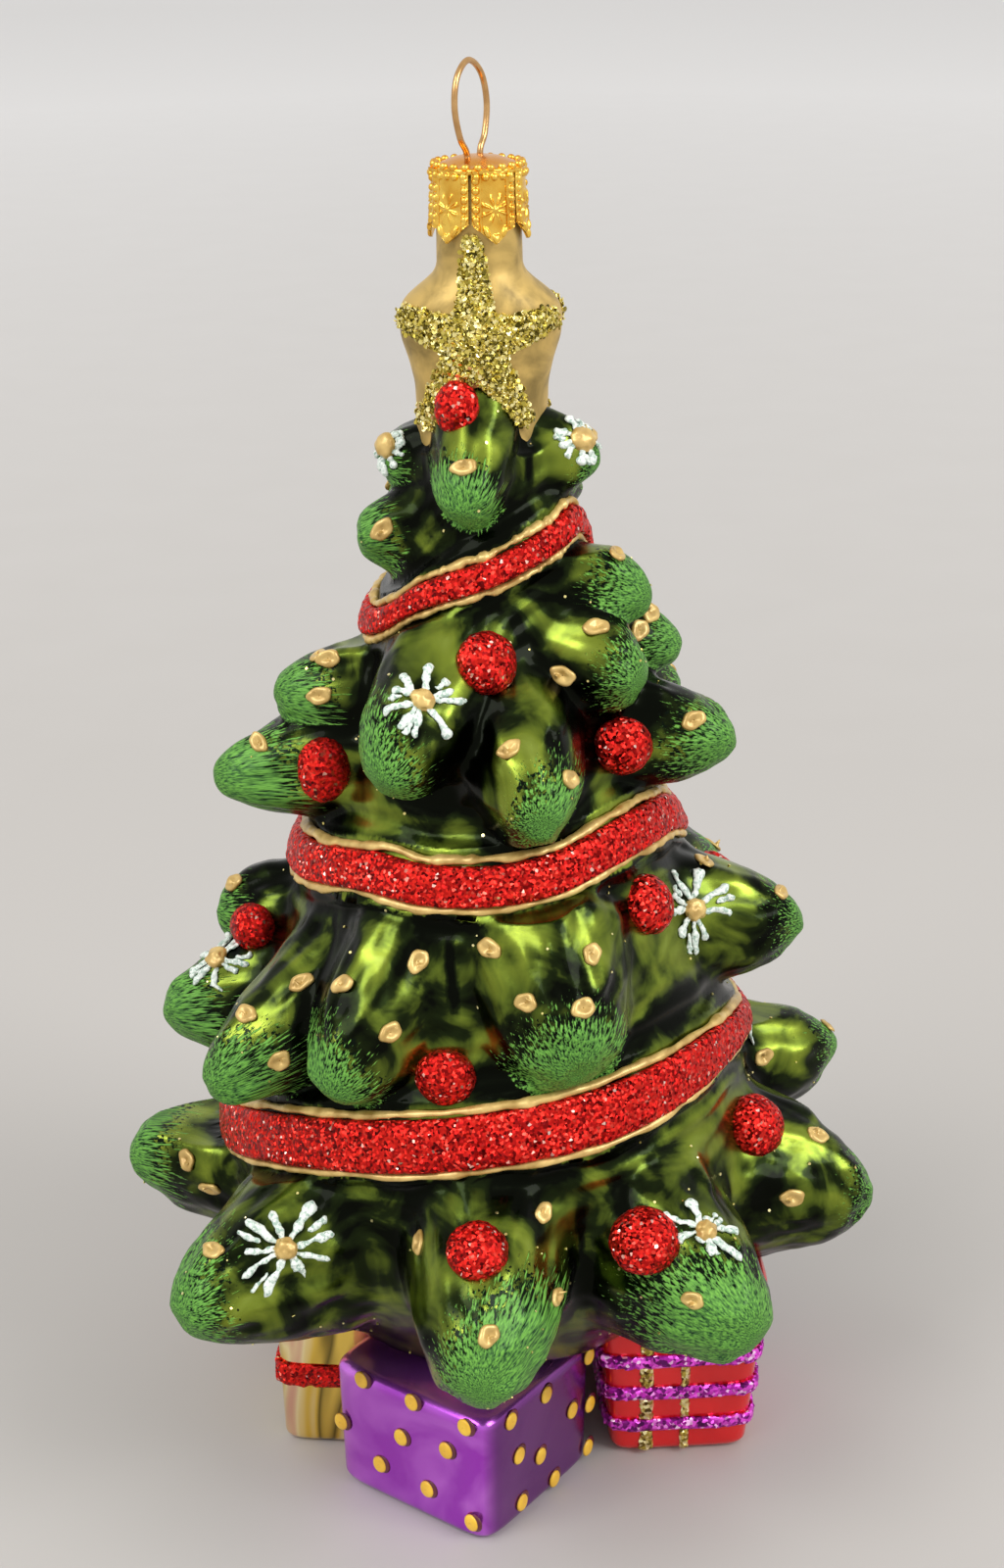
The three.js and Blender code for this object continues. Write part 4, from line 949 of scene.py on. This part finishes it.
yellow, maroon = [], []
_, _, (_, _, height), flare = GIFTS["gift_violet"]
for dots, step in ((LEFT_DOTS, np.array([-1, 0, 0])), (RIGHT_DOTS, np.array([0, -1, 0]))):
    outward = gift_place("gift_violet", step) - gift_place("gift_violet", (0, 0, 0))
    level, tall = upright(outward)
    for along, z in dots:
        local = np.where(step == 0, along, 0) * [1, 1, 0] + [0, 0, z] + step * (0.02 + flare * z / height)
        centre = gift_place("gift_violet", local)
        yellow.append(dab(centre + outward * 0.12, outward, 1.02, 0.3))
        # The dot's painted reflection, dark maroon and set off to the side and a little up
        maroon.append(dab(centre + level * 0.42 + tall * 0.12, outward, 1.08, 0.2))
piece("violet_gift_dots", yellow, yellow_enamel, "gold_paint")
piece("violet_gift_dot_shadows", maroon, maroon_painted_reflection, "gold_paint")

# Gift ribbons: raised glitter stripes brushed on in varnish. The plaid gift has magenta rows all round and
# gold columns on its front between the rows, and each of the others but the violet one has one red row.
PLAID_ROWS = [4.6, 9.5, 14.4, 19.3]
PLAID_GAPS = [(0.8, 3.6), (5.6, 8.5), (10.5, 13.4), (15.4, 18.3)]
# Way across the front, and half width
PLAID_COLUMNS = [(4.3, 0.85), (9.0, 0.55)]
RED_ROW = 10.2
MAGENTA_STOPS = [(0.0, (0.10, 0.003, 0.11)), (0.45, (0.62, 0.02, 0.55)), (0.85, (0.98, 0.12, 0.88)),
                 (1.0, (1.0, 0.70, 0.95))]
OLIVE_STOPS = [(0.0, (0.14, 0.09, 0.01)), (0.5, (0.60, 0.45, 0.08)), (1.0, (1.0, 0.90, 0.50))]
magenta_glitter = glitter("magenta_glitter", 2300.0, 1.0, MAGENTA_STOPS, metallic=0.6, roughness=0.35)
olive_glitter = glitter("olive_gold_glitter", 2300.0, 1.0, OLIVE_STOPS, metallic=0.8, roughness=0.35)


def gift_row(name, z, breadth, seed):
    """A raised band right round a gift at a height, domed and rough."""
    across = turns(14)[:, None]
    up = z + breadth / 2 * blunt(np.cos(across), 0.6)
    points = gift_rings(name, up, grow=0.2 + 0.4 * np.sin(across), columns=420)
    return surface(points + 0.16 * cloud(points, 0.5, seed)[..., None] * np.array([1, 1, 0.8]), "ring")


def gift_column(name, x, half, low, high, seed):
    """A short raised stripe up a gift's front wall."""
    z = np.linspace(low, high, 24)[:, None]
    across = turns(24)[None, :]
    wall = -GIFTS[name][3] * z / GIFTS[name][2][2]
    points = gift_place(name, grid(x + half * np.cos(across), wall - 0.1 - 0.38 * np.sin(across), z))
    return surface(points + 0.16 * cloud(points, 0.5, seed)[..., None] * np.array([1, 1, 0.6]))


piece("plaid_rows", [gift_row("gift_plaid", z, 1.8, 300 + i) for i, z in enumerate(PLAID_ROWS)],
      magenta_glitter, "magenta_glitter", ["plaid_ribbons"])
piece("plaid_columns", [gift_column("gift_plaid", x, half, low, high, 320 + k) for x, half in PLAID_COLUMNS
                        for k, (low, high) in enumerate(PLAID_GAPS)], olive_glitter, "gold_glitter",
      ["plaid_ribbons"])
for name in ("gold", "back_left", "back_right"):
    piece(f"{name}_gift_stripe", [gift_row(f"gift_{name}", RED_ROW, 3.1, 340)], red_glitter, "red_glitter",
          [f"{name}_gift_ribbon"])

# Crown cap: thin stamped metal, gold-coloured, that grips the neck. A domed top with a beaded rim, and six
# petals between slits, each embossed with a burst of rays and edged with beads.
CAP_TOP_Z = 154.25
CAP_RADIUS = 5.15
CAP_HEIGHT = 7.9
CAP_FLARE = 0.25
CAP_TURN = -10
CAP_SHEET = 0.35
PETALS = 6
PETAL_HALF = 180 / PETALS - 1.9
PETAL_POINT = 2.1
BEAD_PITCH = 0.98
RAYS_BELOW_TOP = 4.3
RIM_BEADS = 22
# Radius and height above the cap's top edge
DOME = [(0.02, 0.8), (0.6, 0.79), (1.2, 0.76), (1.8, 0.7), (2.4, 0.6), (3.0, 0.42), (3.5, 0.24), (3.9, 0.08),
        (4.25, 0.0), (4.5, -0.03), (4.75, -0.1), (4.95, -0.22), (5.03, -0.4)]
cap = Finish("stamped_gold_metal", metallic=1.0, roughness=0.2)
tarnish = cap.noise(420.0, 4.0)
tone = cap.tones(tarnish, (0.3, (0.78, 0.38, 0.04)), (0.65, (1.0, 0.66, 0.12)))
# Painted shade: the faces that point upwards, the dome top and bead tops, turn a darker, deeper orange
upward = cap.add("SeparateXYZ", "Z", {"Vector": cap.add("NewGeometry", "Normal")})
cap_look = cap.done(base_color=cap.blend(cap.ranged(upward, 0.6, 0.95), tone, (0.80, 0.34, 0.035)),
                    roughness=cap.ranged(tarnish, 0.0, 1.0, 0.16, 0.34),
                    normal=cap.relief(tarnish, 0.3, 0.0001))


def bead_row(distance, along, radius):
    """Height of a row of half balls: distance is from the row's line, along runs on it."""
    slip = (along + BEAD_PITCH / 2) % BEAD_PITCH - BEAD_PITCH / 2
    return np.sqrt(np.clip(radius ** 2 - distance ** 2 - slip ** 2, 0, None))


def petal(k, rows=110, columns=84):
    """A petal between two slits: columns run across it, rows from the rim to its pointed end. Its relief is
    bead rows along both sides and the rim, and eight rays in the middle. The back is the same sheet, one
    thickness in, and the two are closed round their four edges."""
    u = np.linspace(-1, 1, columns)[None, :]
    v = np.linspace(0, 1, rows)[:, None]
    azimuth = CAP_TURN + (k + 0.5) * 360 / PETALS + u * PETAL_HALF
    foot = CAP_TOP_Z - CAP_HEIGHT + PETAL_POINT * np.abs(u)
    rim = CAP_TOP_Z - 0.3
    z = rim + (foot - rim) * v
    fall = (rim - z) / (rim - (CAP_TOP_Z - CAP_HEIGHT))
    flare = CAP_FLARE * fall ** 2 * 1.2
    half = math.radians(PETAL_HALF) * CAP_RADIUS
    x, side = u * half, (np.abs(u) - 1) * half
    relief = 0.9 * bead_row(side + 0.46, z, 0.4)
    relief = np.maximum(relief, 0.9 * bead_row((z - foot - 0.5) * 0.75, x, 0.38) * (fall > 0.5))
    relief = np.maximum(relief, bead_row(z - CAP_TOP_Z + 0.95, x, 0.4))
    up = z - (CAP_TOP_Z - RAYS_BELOW_TOP)
    reach = np.hypot(x, up)
    ray = np.cos(np.arctan2(up, x) * 4 + np.pi / 2) ** 6 * np.clip(1.4 - np.abs(reach - 0.95) / 0.6, 0, 1)
    relief = relief + 0.26 * ray + 0.2 * np.exp(-(reach / 0.28) ** 2)
    relief = relief - 0.14 * np.exp(-((side + 1.0) / 0.2) ** 2)
    front = at(azimuth, CAP_RADIUS - 0.12 + flare + relief, z)
    back = at(azimuth, CAP_RADIUS - CAP_SHEET + flare, z)
    corners, quads, fans = surface(np.concatenate([front, back[:, ::-1]], axis=1), "open")
    a = np.arange(columns - 1)
    edge = np.stack([a, a + 1, 2 * columns - 2 - a, 2 * columns - 1 - a], -1)
    return corners, np.concatenate([quads, edge, (rows - 1) * 2 * columns + edge[:, ::-1]]), fans


dome = np.array(DOME)
shell = np.concatenate([dome, [(5.0, -0.75)], dome[::-1] - 0.3])
rim_beads = [ball(at(azimuth, 4.72, CAP_TOP_Z - 0.02), unit(at(azimuth, 0.5, 0.85)), 0.46, 0.42, 10, 14, 0.0)
             for azimuth in np.linspace(-180, 180, RIM_BEADS, endpoint=False)]
piece("crown_cap_stamped", [surface(turned(np.maximum(shell[:, 0], 0.02), CAP_TOP_Z + shell[:, 1], 160)),
                            *[petal(k) for k in range(PETALS)], *rim_beads],
      cap_look, "cap_metal", ["crown_cap"], body="cap")

# Wire hanger: one springy copper-coloured wire bent to a loop, its ends pushed through the cap's two holes
# and spread in the neck.
WIRE_RADIUS = 0.34
LOOP_WIDTH, LOOP_HEIGHT = 8, 10.75
LEG_SPACING, LEG_SPREAD, LEG_LENGTH = 3.2, 4.4, 14.5
LOOP_TURN, LOOP_SHIFT, LOOP_LEAN = math.radians(63), -0.4, -0.04
wire_look = mottled("copper_gold_wire", 900.0, (0.0, (0.40, 0.20, 0.07)), (1.0, (0.80, 0.50, 0.22)),
                    metallic=1.0, roughness=0.24)


def smooth_path(points, steps):
    """A curve through all the points: cubic between each two, with the slope of the line between their
    neighbours."""
    knots = np.vstack([2 * points[0] - points[1], points, 2 * points[-1] - points[-2]])
    t = np.linspace(0, len(points) - 1 - 1e-9, steps)
    i = t.astype(int)
    s = (t - i)[:, None]
    a, b, c, d = knots[i], knots[i + 1], knots[i + 2], knots[i + 3]
    return 0.5 * (2 * b + (c - a) * s + (2 * a - 5 * b + 4 * c - d) * s ** 2
                  + (3 * b - a - 3 * c + d) * s ** 3)


def tube(path, radius, sides=18):
    """Circles square to the path, all measured from one fixed direction across its plane."""
    way = unit(np.gradient(path, axis=0))
    level = np.array([math.sin(LOOP_TURN), -math.cos(LOOP_TURN), 0])
    first = unit(level - (way * level).sum(1, keepdims=True) * way)
    second = np.cross(way, first)
    turn = turns(sides)[None, :, None]
    return surface(path[:, None] + radius * (np.cos(turn) * first[:, None] + np.sin(turn) * second[:, None]))


wide, leg = LOOP_WIDTH / 2 - WIRE_RADIUS, LEG_SPACING / 2
half_path = [(LEG_SPREAD / 2, -LEG_LENGTH), (leg * 0.4 + LEG_SPREAD * 0.3, -7), (leg, -0.5), (leg, 1.2),
             (wide * 0.78, LOOP_HEIGHT * 0.26), (wide, LOOP_HEIGHT * 0.55), (wide * 0.74, LOOP_HEIGHT * 0.83)]
across, up = np.array([(-a, z) for a, z in half_path] + [(0, LOOP_HEIGHT - WIRE_RADIUS)] + half_path[::-1]).T
lean = LOOP_SHIFT + LOOP_LEAN * np.maximum(0, up)
knots = np.stack([math.cos(LOOP_TURN) * across + lean, math.sin(LOOP_TURN) * across, up + CAP_TOP_Z], -1)
piece("hanger_wire_drawn", [tube(smooth_path(knots, 240), WIRE_RADIUS)], wire_look, "hanger_metal",
      ["hanger_wire"], body="hanger")
